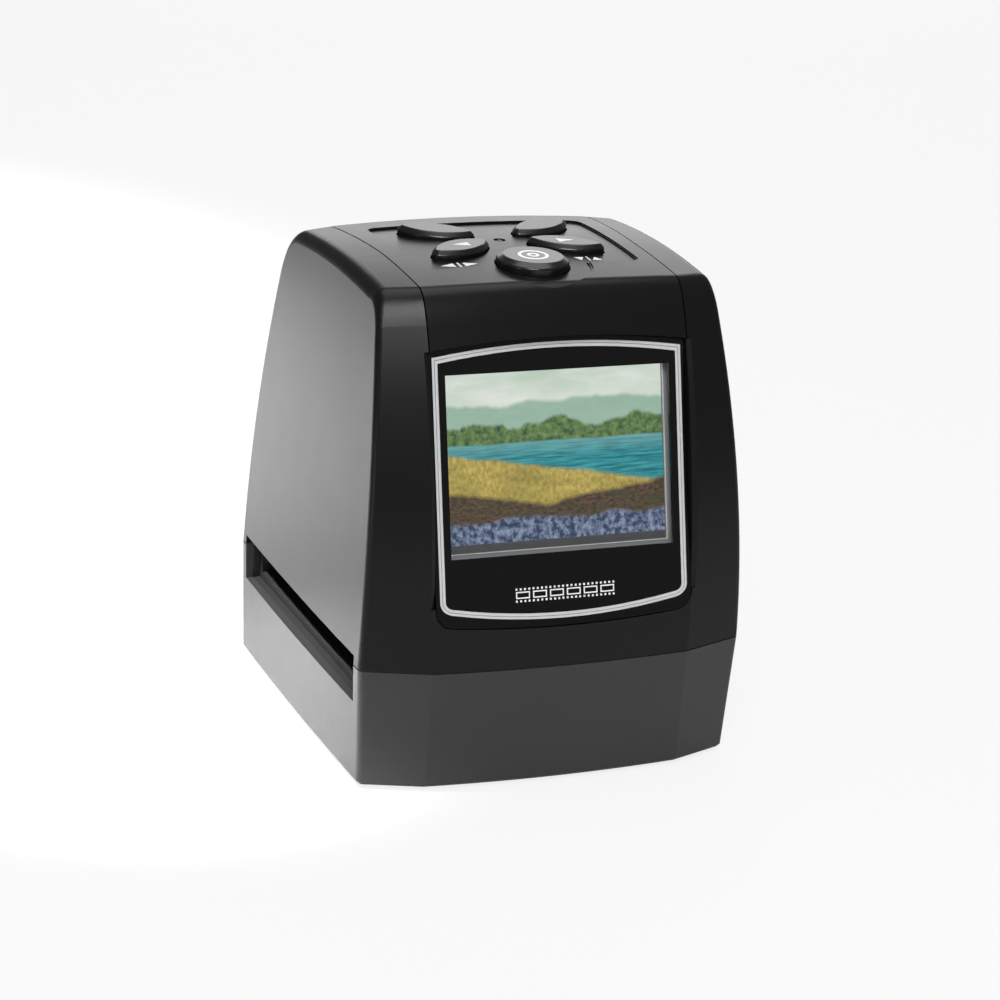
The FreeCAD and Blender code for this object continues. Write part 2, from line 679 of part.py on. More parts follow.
def base_plan(z, inset):
    """The base's outline at a height, in plan: bowed front, rear and sides with rounded corners."""
    lean_front = (size("front_reach") - size("base_front_reach")) / size("parting_height")
    lean_side = (size("body_half_width") - size("base_half_width")) / size("parting_height")
    front = size("base_front_reach") + lean_front * z
    half = size("base_half_width") + lean_side * z
    seam = size("seam_half_width")
    reach = size("rear_reach")
    radius = max(size("edge_radius") - inset, size("edge_radius") / 4)

    def side_x(y):
        return half + size("side_bow") * (1 - (y / reach) ** 2) - inset

    def front_at(x):
        return -front + setback(x, size("front_bow"), size("front_strip_fall")) + inset

    def rear_at(x):
        return reach - setback(x, size("rear_bow"), size("rear_strip_fall")) - inset

    def corner(end_at):
        """The rounded corner on the right: where it leaves the strip, its middle and the side."""
        y = end_at(half)
        for attempt in range(4):
            y = end_at(side_x(y))
        point = Vector(side_x(y), y, z)
        along_strip = (Vector(seam, end_at(seam), z) - point).normalize()
        along_side = Vector(-2 * size("side_bow") * y / reach ** 2, 1, 0).normalize()
        if y > 0:
            along_side = -along_side
        half_angle = along_strip.getAngle(along_side) / 2
        bisector = (along_strip + along_side).normalize()
        tangent = radius / math.tan(half_angle)
        middle = point + bisector * (radius / math.sin(half_angle) - radius)
        return point + along_strip * tangent, middle, point + along_side * tangent

    def mirrored(point):
        return Vector(-point.x, point.y, point.z)

    front_strip, front_middle, front_side = corner(front_at)
    rear_strip, rear_middle, rear_side = corner(rear_at)
    front_seam = Vector(seam, front_at(seam), z)
    rear_seam = Vector(seam, rear_at(seam), z)
    side_middle = Vector(side_x(0), 0, z)
    return Part.Wire([
        Part.Arc(mirrored(front_seam), Vector(0, front_at(0), z), front_seam).toShape(),
        Part.makeLine(front_seam, front_strip),
        Part.Arc(front_strip, front_middle, front_side).toShape(),
        Part.Arc(front_side, side_middle, rear_side).toShape(),
        Part.Arc(rear_side, rear_middle, rear_strip).toShape(),
        Part.makeLine(rear_strip, rear_seam),
        Part.Arc(rear_seam, Vector(0, rear_at(0), z), mirrored(rear_seam)).toShape(),
        Part.makeLine(mirrored(rear_seam), mirrored(rear_strip)),
        Part.Arc(mirrored(rear_strip), mirrored(rear_middle), mirrored(rear_side)).toShape(),
        Part.Arc(mirrored(rear_side), mirrored(side_middle), mirrored(front_side)).toShape(),
        Part.Arc(mirrored(front_side), mirrored(front_middle), mirrored(front_strip)).toShape(),
        Part.makeLine(mirrored(front_strip), mirrored(front_seam)),
    ])


def across(make_section):
    """Joins profiles over the width: smooth between the seams, straight beyond them."""
    seam = size("seam_half_width")
    edge = size("body_half_width") + size("outer_margin")
    middle = Part.makeLoft([make_section(x) for x in (-seam, 0, seam)], True, False)
    right = Part.makeLoft([make_section(x) for x in (seam, edge)], True, True)
    left = Part.makeLoft([make_section(x) for x in (-edge, -seam)], True, True)
    return middle.fuse([left, right]).removeSplitter()


def flanks(make_outline):
    """Joins outlines in the plane of X and Z from front to back, with the sides' bow."""
    far = size("rear_reach") + size("outer_margin")
    bow = size("side_bow")
    swell = bow * (1 - (far / size("rear_reach")) ** 2)
    sections = [make_outline(-far, swell), make_outline(0, bow), make_outline(far, swell)]
    return Part.makeLoft(sections, True, False)


def upper_outline(y, inset, low, swell):
    """The upper body's two sides at a depth."""
    rise = size("crown_height") - size("parting_height")
    waist = size("body_half_width") - size("waist_half_width")
    top = size("body_half_width") - size("top_half_width")
    lean = 4 * waist - top
    curve = top - lean
    high = size("crown_height") + size("outer_margin")

    def half(z):
        share = (z - size("parting_height")) / rise
        return size("body_half_width") + swell - inset - lean * share - curve * share ** 2

    def half_slope(z):
        share = (z - size("parting_height")) / rise
        return -(lean + 2 * curve * share) / rise

    middle_z = (low + high) / 2
    middle_half = half(low) + half_slope(low) * (middle_z - low)

    def at(half_width, z):
        return Vector(half_width, y, z)

    right = curve_between(at(half(low), low), at(half(high), high), at(middle_half, middle_z))
    left = curve_between(at(-half(high), high), at(-half(low), low), at(-middle_half, middle_z))
    roof = Part.makeLine(at(half(high), high), at(-half(high), high))
    sole = Part.makeLine(at(-half(low), low), at(half(low), low))
    return Part.Wire([sole, right, roof, left])


def upper_form(inset=0, below=0):
    """The upper body's outer form, set inwards by an inset and run down past the parting line."""
    low = size("parting_height") - below
    skin = across(lambda x: body_section(x, inset, low))
    sides = flanks(lambda y, swell: upper_outline(y, inset, low, swell))
    return skin.common(sides)


def base_form(inset=0, floor=0, above=0):
    """The base's outer form, set inwards by an inset, from its floor to past the parting line."""
    sections = [base_plan(floor, inset), base_plan(size("parting_height") + above, inset)]
    return Part.makeLoft(sections, True, True)


def outer_base_form():
    """The base's outer form with its bevelled bottom edge."""
    bevel = size("underside_bevel")
    sections = [base_plan(0, bevel), base_plan(bevel, 0), base_plan(size("parting_height"), 0)]
    return Part.makeLoft(sections, True, True)


def is_side_edge(edge, low, high):
    """Whether an edge runs along one of the four long outer corners."""
    box = edge.BoundBox
    beyond_seam = box.XMin > size("seam_half_width") or box.XMax < -size("seam_half_width")
    flat = box.ZMax - box.ZMin < size("slip_gap") and (box.ZMax > high or box.ZMin < low)
    return beyond_seam and not flat and box.YLength + box.ZLength > size("slip_gap")


def long_edge_rounding(shape):
    """The side edges' numbers with their radius at either end: wider on the top than on the corners."""
    low = size("parting_height") + size("wall")
    high = size("crown_height") + size("outer_margin")
    top = (size("fold_height") + size("crown_height")) / 2
    listed = []
    for number, edge in enumerate(shape.Edges, start=1):
        if not is_side_edge(edge, low, high):
            continue
        ends = (edge.Vertexes[0], edge.Vertexes[-1])
        radii = [size("top_edge_radius" if end.Point.z > top else "edge_radius") for end in ends]
        listed.append((number, radii[0], radii[1]))
    return listed


def box_shape(x, y, z):
    """A plain box from the first to the second value along each axis."""
    corner = Vector(x[0], y[0], z[0])
    return Part.makeBox(x[1] - x[0], y[1] - y[0], z[1] - z[0], corner)


def plan_prism(points, low, high):
    """A straight prism over a plan outline."""
    corners = [Vector(x, y, low) for x, y in points]
    face = Part.Face(Part.makePolygon(corners + corners[:1]))
    return face.extrude(Vector(0, 0, high - low))


# The tilted face of the screen: X across, Y up the slope and Z out of the face,
# with its origin at the middle of the window's top edge.
def screen_frame():
    height = size("window_top_height")
    y = front_y(height)[0] + size("bezel_setback")
    return Placement(Vector(0, y, height), Rotation(Vector(1, 0, 0), 90 - size("screen_tilt")))


def bezel_blank(grow, low, high):
    """The bezel's outline, grown or shrunk all round, as a prism on the screen's tilted face."""
    half = size("seam_half_width") + size("seam_gap") / 2 + grow
    top = size("bezel_side_top") + grow
    crown = top + size("bezel_top_rise")
    bottom = -size("window_height") - size("bezel_chin") - grow
    belly = bottom - size("bezel_chin_drop")
    top_left = Vector(-half, top, low)
    top_right = Vector(half, top, low)
    bottom_left = Vector(-half, bottom, low)
    bottom_right = Vector(half, bottom, low)
    outline = Part.Wire([
        Part.Arc(top_left, Vector(0, crown, low), top_right).toShape(),
        Part.makeLine(top_right, bottom_right),
        Part.Arc(bottom_right, Vector(0, belly, low), bottom_left).toShape(),
        Part.makeLine(bottom_left, top_left),
    ])
    prism = Part.Face(outline).extrude(Vector(0, 0, high - low))
    upright = [edge for edge in prism.Edges if edge.BoundBox.ZLength > (high - low) / 2]
    lower = [edge for edge in upright if edge.BoundBox.YMax < -size("window_height")]
    upper = [edge for edge in upright if edge.BoundBox.YMin > 0]
    prism = prism.makeFillet(size("bezel_corner") + grow, lower)
    return prism.makeFillet(size("bezel_top_corner") + max(grow, 0), [
        edge for edge in prism.Edges
        if any(edge.CenterOfMass.distanceToPoint(old.CenterOfMass) < size("slip_gap") for old in upper)
    ])


def bezel_prism(grow, low, high):
    """The same prism in the body's own frame."""
    prism = bezel_blank(grow, low, high)
    prism.Placement = screen_frame()
    return prism


def screen_box(x, y, z):
    """A plain box given on the tilted face of the screen."""
    shape = box_shape(x, y, z)
    shape.Placement = screen_frame().multiply(shape.Placement)
    return shape


# Named heights that several pieces share.
SLOT_TOP = "slot_sill_height + slot_height"
TRACK_ROOF = "track_floor_height + channel_height"
TRACK_TOP = TRACK_ROOF + " + track_plate"
CHANNEL_FRONT = "-slot_front_reach + channel_inset"
CHANNEL_REAR = "slot_rear_reach - channel_inset"
OPTICAL_Y = "(slot_rear_reach - slot_front_reach) / 2"
BOARD_LOW = TRACK_TOP + " + board_post_height"
BOARD_TOP = BOARD_LOW + " + main_board"
TOWER_LOW = TRACK_TOP + " + tower_flange"
TOWER_TOP = TOWER_LOW + " + tower_height"
LIGHT_TOP = "light_board_height + small_board"
BUTTON_BOARD_TOP = "button_board_height + small_board"
SWITCH_TOP = BUTTON_BOARD_TOP + " + switch_height"
BASE_SCREW_Y = "-front_reach + base_screw_inset"
BASE_SCREWS = [(f"{side} * base_screw_half_spread", BASE_SCREW_Y) for side in (-1, 1)]
BOARD_SCREWS = [
    (f"{side} * (main_board_half_width - board_margin)", y)
    for side in (-1, 1)
    for y in ("-main_board_front_reach + board_margin", "main_board_rear_reach - board_margin")
]
FLANGE_SCREWS = [
    (f"{side_x} * (flange_width - 2 * post_radius) / 2", f"{OPTICAL_Y} + {side_y} * flange_screw_reach")
    for side_x in (-1, 1)
    for side_y in (-1, 1)
]
BUTTON_BOARD_SCREWS = [
    (f"{side} * (button_board_half_width - post_radius)", y)
    for side in (-1, 1)
    for y in ("-button_board_front_reach + post_radius", "button_board_rear_reach - post_radius")
]
LIGHT_SCREWS = [
    (
        f"{side_x} * (light_board_width / 2 - post_radius)",
        f"{OPTICAL_Y} + {side_y} * (light_board_depth / 2 - post_radius)",
    )
    for side_x in (-1, 1)
    for side_y in (-1, 1)
]
PANEL_LOW = "panel_rise - panel_height"
CARRIER_SCREWS = [
    (f"panel_shift + {side} * carrier_screw_spread", y)
    for side in (-1, 1)
    for y in ("panel_rise + carrier_rim / 2", PANEL_LOW + " - carrier_rim / 2")
]
FEET = [
    (f"{side} * foot_half_spread", y)
    for side in (-1, 1)
    for y in ("-foot_front_reach", "foot_rear_reach")
]


def solid_rod(radius, x, y, low, high):
    return Part.makeCylinder(radius, high - low, Vector(x, y, low))


# Base shell.
def slot_box(extra=0, low=None, high=None):
    """The side slots as one box across the whole body, grown by an extra all round."""
    far = size("body_half_width") + size("outer_margin")
    low = value_of("slot_sill_height") - extra if low is None else low
    high = value_of(SLOT_TOP) + extra if high is None else high
    front = -size("slot_front_reach") - extra
    rear = size("slot_rear_reach") + extra
    return box_shape((-far, far), (front, rear), (low, high))


def slot_rims(form, low, high):
    """The thick rims behind the side slots, trimmed to a form of the body."""
    rim = slot_box(size("slot_rim"), low, high)
    inner = size("track_half_length") + size("slip_gap")
    middle = box_shape((-inner, inner), (rim.BoundBox.YMin, rim.BoundBox.YMax), (low, high))
    return rim.cut(middle).common(form)


def make_base_shell():
    outer = outer_base_form()
    parting = size("parting_height")
    cavity = base_form(size("wall"), size("wall"), size("overrun"))
    shell = outer.cut(cavity)
    rims = slot_rims(outer, size("slot_sill_height") - size("slot_rim"), parting)
    posts = []
    for x, y in light_posts():
        posts.append(solid_rod(size("post_radius"), x, y, size("wall") / 2, size("light_board_height")))
    for x, y in BASE_SCREWS:
        radius = size("screw_head_radius") + size("running_gap") + size("wall") / 2
        tall = solid_rod(radius, value_of(x), value_of(y), size("wall") / 2, parting)
        posts.append(tall.common(outer))
    shell = shell.fuse([rims] + posts)
    cuts = [slot_box(0, None, parting + size("overrun"))]
    for x, y in BASE_SCREWS:
        x = value_of(x)
        y = value_of(y)
        shank = size("screw_radius") + size("slip_gap")
        head = size("screw_head_radius") + size("running_gap")
        cuts.append(solid_rod(shank, x, y, -size("overrun"), parting + size("overrun")))
        cuts.append(solid_rod(head, x, y, -size("overrun"), size("base_screw_seat")))
    for x, y in light_posts():
        above = size("light_board_height") + size("overrun")
        cuts.append(solid_rod(size("screw_radius"), x, y, size("wall"), above))
    for x, y in FEET:
        seat = size("foot_radius") + size("slip_gap")
        cuts.append(solid_rod(seat, value_of(x), value_of(y), -size("overrun"), size("foot_seat")))
    groove = box_shape(
        (-size("body_half_width") - size("overrun"), size("body_half_width") + size("overrun")),
        (-size("front_reach") - size("overrun"), size("rear_reach") + size("overrun")),
        (parting - size("parting_groove"), parting + size("overrun")),
    ).cut(base_form(size("parting_groove"), 0, 2 * size("overrun")))
    shell = shell.cut(cuts + [groove])
    hooks = []
    rear = size("rear_reach") - size("rear_bow") - size("wall") - size("slip_gap")
    for side in (-1, 1):
        x = side * size("hook_spacing") / 2
        hooks.append(box_shape(
            (x - size("hook_width") / 2, x + size("hook_width") / 2),
            (rear - size("hook_thickness"), rear),
            (parting - size("hook_height"), parting + size("hook_height")),
        ))
        hooks.append(box_shape(
            (x - size("hook_width") / 2, x + size("hook_width") / 2),
            (rear - size("hook_thickness"), rear + size("wall")),
            (parting - size("hook_height"), parting - size("wall")),
        ))
    return shell.fuse(hooks).removeSplitter()


def light_posts():
    return [(value_of(x), value_of(y)) for x, y in LIGHT_SCREWS]


# Upper housing.
def cover_plan(half, low, high):
    """The strip between the seams in plan, which spreads a little towards the rear."""
    far = size("rear_reach") + size("outer_margin")
    spread = half + size("seam_spread")
    return plan_prism(
        [
            (-half, -far),
            (half, -far),
            (half, size("crown_offset")),
            (spread, size("rear_corner_reach")),
            (spread, far),
            (-spread, far),
            (-spread, size("rear_corner_reach")),
            (-half, size("crown_offset")),
        ],
        low,
        high,
    )


def port_shapes(extra):
    """The outlines of the three rear sockets, grown by an extra, as blocks through the rear wall."""
    margin = size("outer_margin")
    rear = (size("rear_reach") - size("wall") - margin, size("rear_reach") + margin)
    low = value_of(BOARD_TOP)
    data_x = -size("data_port_offset")
    data_half = size("data_port_width") / 2 + extra
    data_top = low + size("data_port_height") + extra
    data = box_shape((data_x - data_half, data_x + data_half), rear, (low - extra, data_top))
    card_x = size("card_offset")
    card_half = size("card_slot_width") / 2 + size("card_side") + extra
    card_top = low + size("card_slot_height") + 2 * size("sheet_metal") + extra
    card = box_shape((card_x - card_half, card_x + card_half), rear, (low - extra, card_top))
    jack = Part.makeCylinder(
        size("jack_nose_radius") + extra,
        rear[1] - rear[0],
        Vector(-size("jack_offset"), rear[0], low + size("jack_width") / 2),
        Vector(0, 1, 0),
    )
    return [data, card, jack]


def make_upper_housing(outer, inner, ledge_outer, ledge_inner):
    parting = size("parting_height")
    high = size("crown_height") + size("outer_margin")
    far = size("rear_reach") + size("outer_margin")
    shell = outer.cut(inner)

    # The ledge under the seams.
    half = size("seam_half_width") + size("seam_gap") / 2
    ledge = ledge_outer.cut(ledge_inner)
    width = size("ledge_width")
    ledge = ledge.common(cover_plan(half + width, size("cover_rear_height") - width, high))
    ledge = ledge.cut(cover_plan(half - width, size("cover_rear_height") + width, high))
    keep_front = box_shape((-far, far), (-far, far), (size("window_top_height"), high))
    keep_rear = box_shape((-far, far), (0, far), (parting, high))
    ledge = ledge.common(keep_front.fuse(keep_rear))

    # The tub that holds the bezel.
    depth = size("bezel_thickness") + size("recess_floor")
    tub = bezel_prism(size("recess_wall"), -depth, size("outer_margin")).common(outer)
    shell = shell.fuse([ledge, tub, slot_rims(outer, parting, value_of(SLOT_TOP) + size("slot_rim"))])

    # The bosses that the base screws bite into.
    bosses = []
    for x, y in BASE_SCREWS:
        low = parting + size("slip_gap")
        boss = solid_rod(size("post_radius"), value_of(x), value_of(y), low, base_screw_top() + size("wall"))
        bosses.append(boss.common(outer))
    shell = shell.fuse(bosses)
    cuts = []
    for x, y in BASE_SCREWS:
        low = parting - size("overrun")
        cuts.append(solid_rod(size("screw_radius"), value_of(x), value_of(y), low, base_screw_top()))

    # What the top cover, the bezel, the screen, the film holder and the plugs need.
    cover_zone = cover_plan(half, size("cover_rear_height") - size("seam_gap"), high)
    cover_skin = cover_zone.common(keep_front.fuse(keep_rear)).cut(inner)
    pocket_prism = bezel_prism(0, -size("bezel_thickness"), size("outer_margin") * 2)
    margin = size("screen_opening_margin")
    opening = screen_box(
        (-size("window_width") / 2 - margin, size("window_width") / 2 + margin),
        (-size("window_height") - margin, margin),
        (-depth - size("overrun"), size("overrun")),
    )
    cuts += [cover_skin, pocket_prism, opening, slot_box(0, parting - size("overrun"))]
    cuts += [recess_slope(side) for side in (-1, 1)]
    cuts += port_shapes(size("port_gap"))
    for x, y in lcd_screws():
        start = Vector(x, y, -depth - size("overrun"))
        hole = Part.makeCylinder(size("screw_radius"), size("recess_floor") / 2 + size("overrun"), start)
        hole.Placement = screen_frame().multiply(hole.Placement)
        cuts.append(hole)
    return shell.cut(cuts).removeSplitter()


def recess_slope(side):
    """What the slope along one upright edge of the bezel's recess takes off the front."""
    near = size("seam_half_width") + size("seam_gap") / 2
    reach = size("recess_bevel")
    low = size("parting_height") - size("overrun")
    kept = Part.makeLoft([
        body_section(side * near, reach, low),
        body_section(side * (near + 2 * reach), -reach, low),
    ], True, True)
    across = sorted((side * near, side * (near + reach)))
    along = (-size("window_height") - size("bezel_chin") + size("bezel_corner"), size("bezel_side_top"))
    zone = screen_box(across, along, (-size("bezel_thickness"), size("outer_margin")))
    return zone.cut(kept)


def base_screw_top():
    return size("base_screw_seat") + size("base_screw_length") + size("slip_gap")


def lcd_screws():
    """The screws of the screen carrier, on the tilted face."""
    return [(value_of(x), value_of(y)) for x, y in CARRIER_SCREWS]


# Top cover.
def button_field(grow, low, high):
    """The outline of the shallow field that holds the buttons, with its round place, as a prism."""
    half = size("field_half_width") + grow
    depth = (-size("field_front_reach") - grow, size("field_rear_reach") + grow)
    field = box_shape((-half, half), depth, (low, high))
    upright = [edge for edge in field.Edges if edge.BoundBox.ZLength > (high - low) / 2]
    field = field.makeFillet(size("field_corner") + grow, upright)
    halo = solid_rod(size("scan_halo_radius") + grow, 0, -size("scan_reach"), low, high)
    return field.fuse(halo).removeSplitter()


def leaf_places():
    spread = size("leaf_spread")
    angle = size("leaf_angle")
    return {
        "mirror": (-spread, size("leaf_front_reach"), angle),
        "flip": (spread, size("leaf_front_reach"), -angle),
        "power": (-spread, size("leaf_rear_reach"), -angle),
        "mode": (spread, size("leaf_rear_reach"), angle),
    }


def leaf_shape(grow, low, high):
    """A leaf of two arcs with rounded tips, as a prism round its own centre."""
    half = size("leaf_length") / 2 + grow
    swell = size("leaf_width") / 2 + grow
    left = Vector(-half, 0, low)
    right = Vector(half, 0, low)
    outline = Part.Wire([
        Part.Arc(left, Vector(0, -swell, low), right).toShape(),
        Part.Arc(right, Vector(0, swell, low), left).toShape(),
    ])
    prism = Part.Face(outline).extrude(Vector(0, 0, high - low))
    upright = [edge for edge in prism.Edges if edge.BoundBox.ZLength > (high - low) / 2]
    return prism.makeFillet(size("leaf_tip") + grow, upright)


def leaf_at(name, grow, low, high):
    x, y, angle = leaf_places()[name]
    shape = leaf_shape(grow, low, high)
    shape.Placement = Placement(Vector(x, y, 0), Rotation(Vector(0, 0, 1), angle))
    return shape


def make_top_cover(outer, ledge_outer, field_floor, step_floor):
    high = size("crown_height") + size("outer_margin")
    far = size("rear_reach") + size("outer_margin")
    half = size("seam_half_width") - size("seam_gap") / 2
    keep_front = box_shape((-far, far), (-far, far), (size("window_top_height"), high))
    keep_rear = box_shape((-far, far), (0, far), (size("parting_height"), high))
    zone = cover_plan(half, size("cover_rear_height"), high).common(keep_front.fuse(keep_rear))
    skin = outer.cut(ledge_outer).common(zone)
    skin = skin.cut(bezel_prism(0, -size("outer_margin"), size("outer_margin") * 2))

    # Bosses for the button board and clips that catch the ledge.
    body = outer.cut(field_floor)
    top = size("crown_height")
    extras = []
    for x, y in BUTTON_BOARD_SCREWS:
        boss = solid_rod(size("post_radius"), value_of(x), value_of(y), value_of(BUTTON_BOARD_TOP), top)
        extras.append(boss.common(field_floor))
    inner = half - size("ledge_width") - size("running_gap")
    for side in (-1, 1):
        for y in (-size("clip_front_reach"), size("clip_rear_reach")):
            outer_x = side * inner
            inner_x = side * (inner - size("clip_thickness"))
            clip = box_shape(
                (min(outer_x, inner_x), max(outer_x, inner_x)),
                (y - size("clip_width") / 2, y + size("clip_width") / 2),
                (top - size("clip_depth") - size("cover_wall"), top),
            )
            extras.append(clip.common(field_floor))
    skin = skin.fuse(extras)

    low = top - size("outer_margin")
    cuts = [
        button_field(0, low, high).common(body),
        button_field(size("field_step"), low, high).common(outer.cut(step_floor)),
    ]
    clear = size("running_gap")
    low = value_of(SWITCH_TOP)
    cuts.append(solid_rod(size("scan_radius") + clear, 0, -size("scan_reach"), low, high))
    for name in leaf_places():
        cuts.append(leaf_at(name, clear, low, high))
    cuts.append(solid_rod(size("light_hole_radius"), 0, size("light_reach"), low, high))
    for x, y in BUTTON_BOARD_SCREWS:
        hole_top = value_of(BUTTON_BOARD_TOP) + size("small_screw_length")
        hole_low = size("button_board_height")
        cuts.append(solid_rod(size("screw_radius"), value_of(x), value_of(y), hole_low, hole_top))
    return skin.cut(cuts).removeSplitter()


sharp_form = fixed_shape("sharp_form", upper_form())
rounding_of_form = doc.addObject("Part::Fillet", "rounded_form")
rounding_of_form.Base = sharp_form
rounding_of_form.Edges = long_edge_rounding(sharp_form.Shape)
doc.recompute()
round_form = rounding_of_form.Shape
inner_form = upper_form(size("wall"), size("overrun"))
ledge_outer_form = upper_form(size("cover_wall"), size("overrun"))
ledge_inner_form = upper_form(size("ledge_depth"), size("overrun"))
field_form = upper_form(size("panel_recess"), size("overrun"))
step_form = upper_form(size("panel_recess") / 2, size("overrun"))

piece("base_shell", fixed_shape("base_shell", make_base_shell()))
piece("upper_housing", fixed_shape(
    "upper_housing", make_upper_housing(round_form, inner_form, ledge_outer_form, ledge_inner_form)
))
piece("top_cover", fixed_shape(
    "top_cover", make_top_cover(round_form, ledge_outer_form, field_form, step_form)
))


# Screws: a head with a cross in it and a plain shank.
def screw(name, x, y, seat, length, head_up=True):
    """One screw whose head rests on the seat, with its shank on the other side of it."""
    shank_radius = "screw_radius - slip_gap / 2"
    if head_up:
        head = rod(name + "_head", "screw_head_radius", "screw_head", x, y, seat)
        shank = rod(name + "_shank", shank_radius, length, x, y, f"{seat} - ({length})")
        drive = f"{seat} + screw_head - screw_drive"
    else:
        head = rod(name + "_head", "screw_head_radius", "screw_head", x, y, f"{seat} - screw_head")
        shank = rod(name + "_shank", shank_radius, length, x, y, seat)
        drive = f"{seat} - screw_head"
    along = block(name + "_slot", "screw_drive_reach", "screw_drive", "screw_drive", x, y, drive)
    across_it = block(name + "_cross", "screw_drive", "screw_drive_reach", "screw_drive", x, y, drive)
    return cut(name, fuse(name + "_blank", head, shank), along, across_it)


def screws(name, places, seat, length, head_up=True):
    made = []
    for number, (x, y) in enumerate(places, start=1):
        made.append(screw(f"{name}_{number}", x, y, seat, length, head_up))
    return group(name, *made)


# Film track.
def make_track_lower():
    ends = ("-track_half_length", "track_half_length")
    under = TRACK_UNDER
    roof = TRACK_ROOF
    depth = (CHANNEL_FRONT + " - rail", CHANNEL_REAR + " + rail")
    floor = span("track_floor", ends, depth, (under, "track_floor_height"))
    front = span("track_front_rail", ends, (CHANNEL_FRONT + " - rail", CHANNEL_FRONT), (under, roof))
    rear = span("track_rear_rail", ends, (CHANNEL_REAR, CHANNEL_REAR + " + rail"), (under, roof))
    holder = block(
        "detent_block", "detent_block_width", "detent_block_width", "detent_block_drop",
        "0", DETENT_Y, BLOCK_LOW,
    )
    legs = []
    for number, (x, y) in enumerate(LEGS):
        legs.append(rod(f"track_leg_{number}", "post_radius", under + " - wall", x, y, "wall"))
    blank = fuse("track_lower_blank", floor, front, rear, holder, *legs)
    window = block(
        "track_window", "frame_window_width", "frame_window_depth", "track_plate + 2 * overrun",
        "0", OPTICAL_Y, under + " - overrun",
    )
    bore = rod(
        "detent_bore", "detent_radius + detent_bore_gap", "detent_collar + track_plate + overrun",
        "0", DETENT_Y, COLLAR_LOW,
    )
    chamber = rod(
        "detent_chamber", "detent_head_radius + slip_gap", "detent_block_drop - detent_collar + overrun",
        "0", DETENT_Y, BLOCK_LOW + " - overrun",
    )
    return cut("track_lower", blank, window, bore, chamber)


TRACK_UNDER = "track_floor_height - track_plate"
DETENT_Y = CHANNEL_FRONT + " + detent_inset"
COLLAR_LOW = TRACK_UNDER + " - detent_collar"
HEAD_LOW = COLLAR_LOW + " - detent_bore_gap - detent_head_length"
BLOCK_LOW = TRACK_UNDER + " - detent_block_drop"
CAP_TOP = BLOCK_LOW + " + detent_cap"
LEGS = [
    (f"{side} * (track_half_length - leg_inset)", y)
    for side in (-1, 1)
    for y in (CHANNEL_FRONT + " + post_radius", CHANNEL_REAR + " - post_radius")
]


def make_track_upper():
    ends = ("-track_half_length", "track_half_length")
    depth = (CHANNEL_FRONT + " - rail", CHANNEL_REAR + " + rail")
    plate = span("track_roof", ends, depth, (TRACK_ROOF, TRACK_TOP))
    posts = []
    holes = []
    for number, (x, y) in enumerate(BOARD_SCREWS):
        posts.append(rod(f"board_post_{number}", "post_radius", "board_post_height", x, y, TRACK_TOP))
        low = f"{TRACK_TOP} + slip_gap"
        holes.append(rod(f"board_post_hole_{number}", "screw_radius", "board_post_height", x, y, low))
    through = "track_plate + 2 * overrun"
    for number, (x, y) in enumerate(FLANGE_SCREWS):
        holes.append(rod(f"flange_hole_{number}", "screw_radius", through, x, y, f"{TRACK_ROOF} - overrun"))
    window = block(
        "roof_window", "frame_window_width", "frame_window_depth", through,
        "0", OPTICAL_Y, f"{TRACK_ROOF} - overrun",
    )
    return cut("track_upper", fuse("track_upper_blank", plate, *posts), window, *holes)


def make_detent_pin():
    """An upright pin with a sloped nose in the channel and a head under the track's floor."""
    body = new_body("detent_pin_body")
    sketch = new_sketch(body, "detent_pin_profile", "XZ_Plane")
    nose = "detent_nose"
    head = "-track_plate - detent_collar - detent_bore_gap"
    draw_outline(sketch, "pin", [
        ("0", nose),
        ("detent_radius / 2", nose),
        ("detent_radius", nose + " - detent_radius / 2"),
        ("detent_radius", head),
        ("detent_head_radius", head),
        ("detent_head_radius", head + " - detent_head_length"),
        ("0", head + " - detent_head_length"),
    ])
    revolve(body, "detent_pin_turned", sketch)
    return body


def arc_towards(start, turn, end):
    """The arc that leaves its start towards the turn point and reaches its end."""
    weight = (end - start).Length / (2 * (turn - start).Length)
    middle = (start + end + turn * (2 * weight)) * (1 / (2 + 2 * weight))
    return Part.Arc(start, middle, end).toShape()


def smooth_arcs(start, start_way, end, end_way):
    """Two arcs that join two points and keep the given direction at each."""
    gap = end - start
    ways = start_way + end_way
    spare = 2 * (1 - start_way.dot(end_way))
    reach = (math.sqrt(gap.dot(ways) ** 2 + spare * gap.dot(gap)) - gap.dot(ways)) / spare
    first_turn = start + start_way * reach
    last_turn = end - end_way * reach
    middle = (first_turn + last_turn) * 0.5
    return [arc_towards(start, first_turn, middle), arc_towards(middle, last_turn, end)]


def make_detent_spring():
    """A coil of round wire, whose ends stay a little clear of the cap and of the pin's head."""
    wire = size("spring_wire")
    low = wire + size("slip_gap")
    rise = value_of(f"({HEAD_LOW}) - ({CAP_TOP})") - 2 * low
    radius = (size("detent_radius") + size("detent_head_radius")) / 2
    angle = 2 * math.pi * size("spring_coils")
    quarters = round(4 * size("spring_coils"))

    def on_coil(share):
        turned = angle * share
        point = Vector(radius * math.cos(turned), radius * math.sin(turned), low + rise * share)
        way = Vector(-radius * math.sin(turned), radius * math.cos(turned), rise / angle)
        return point, way.normalize()

    arcs = []
    for quarter in range(quarters):
        arcs += smooth_arcs(*on_coil(quarter / quarters), *on_coil((quarter + 1) / quarters))
    ring = Part.Wire(Part.makeCircle(wire / 2, *on_coil(0)))
    return Part.Wire(arcs).makePipeShell([ring], True, False)


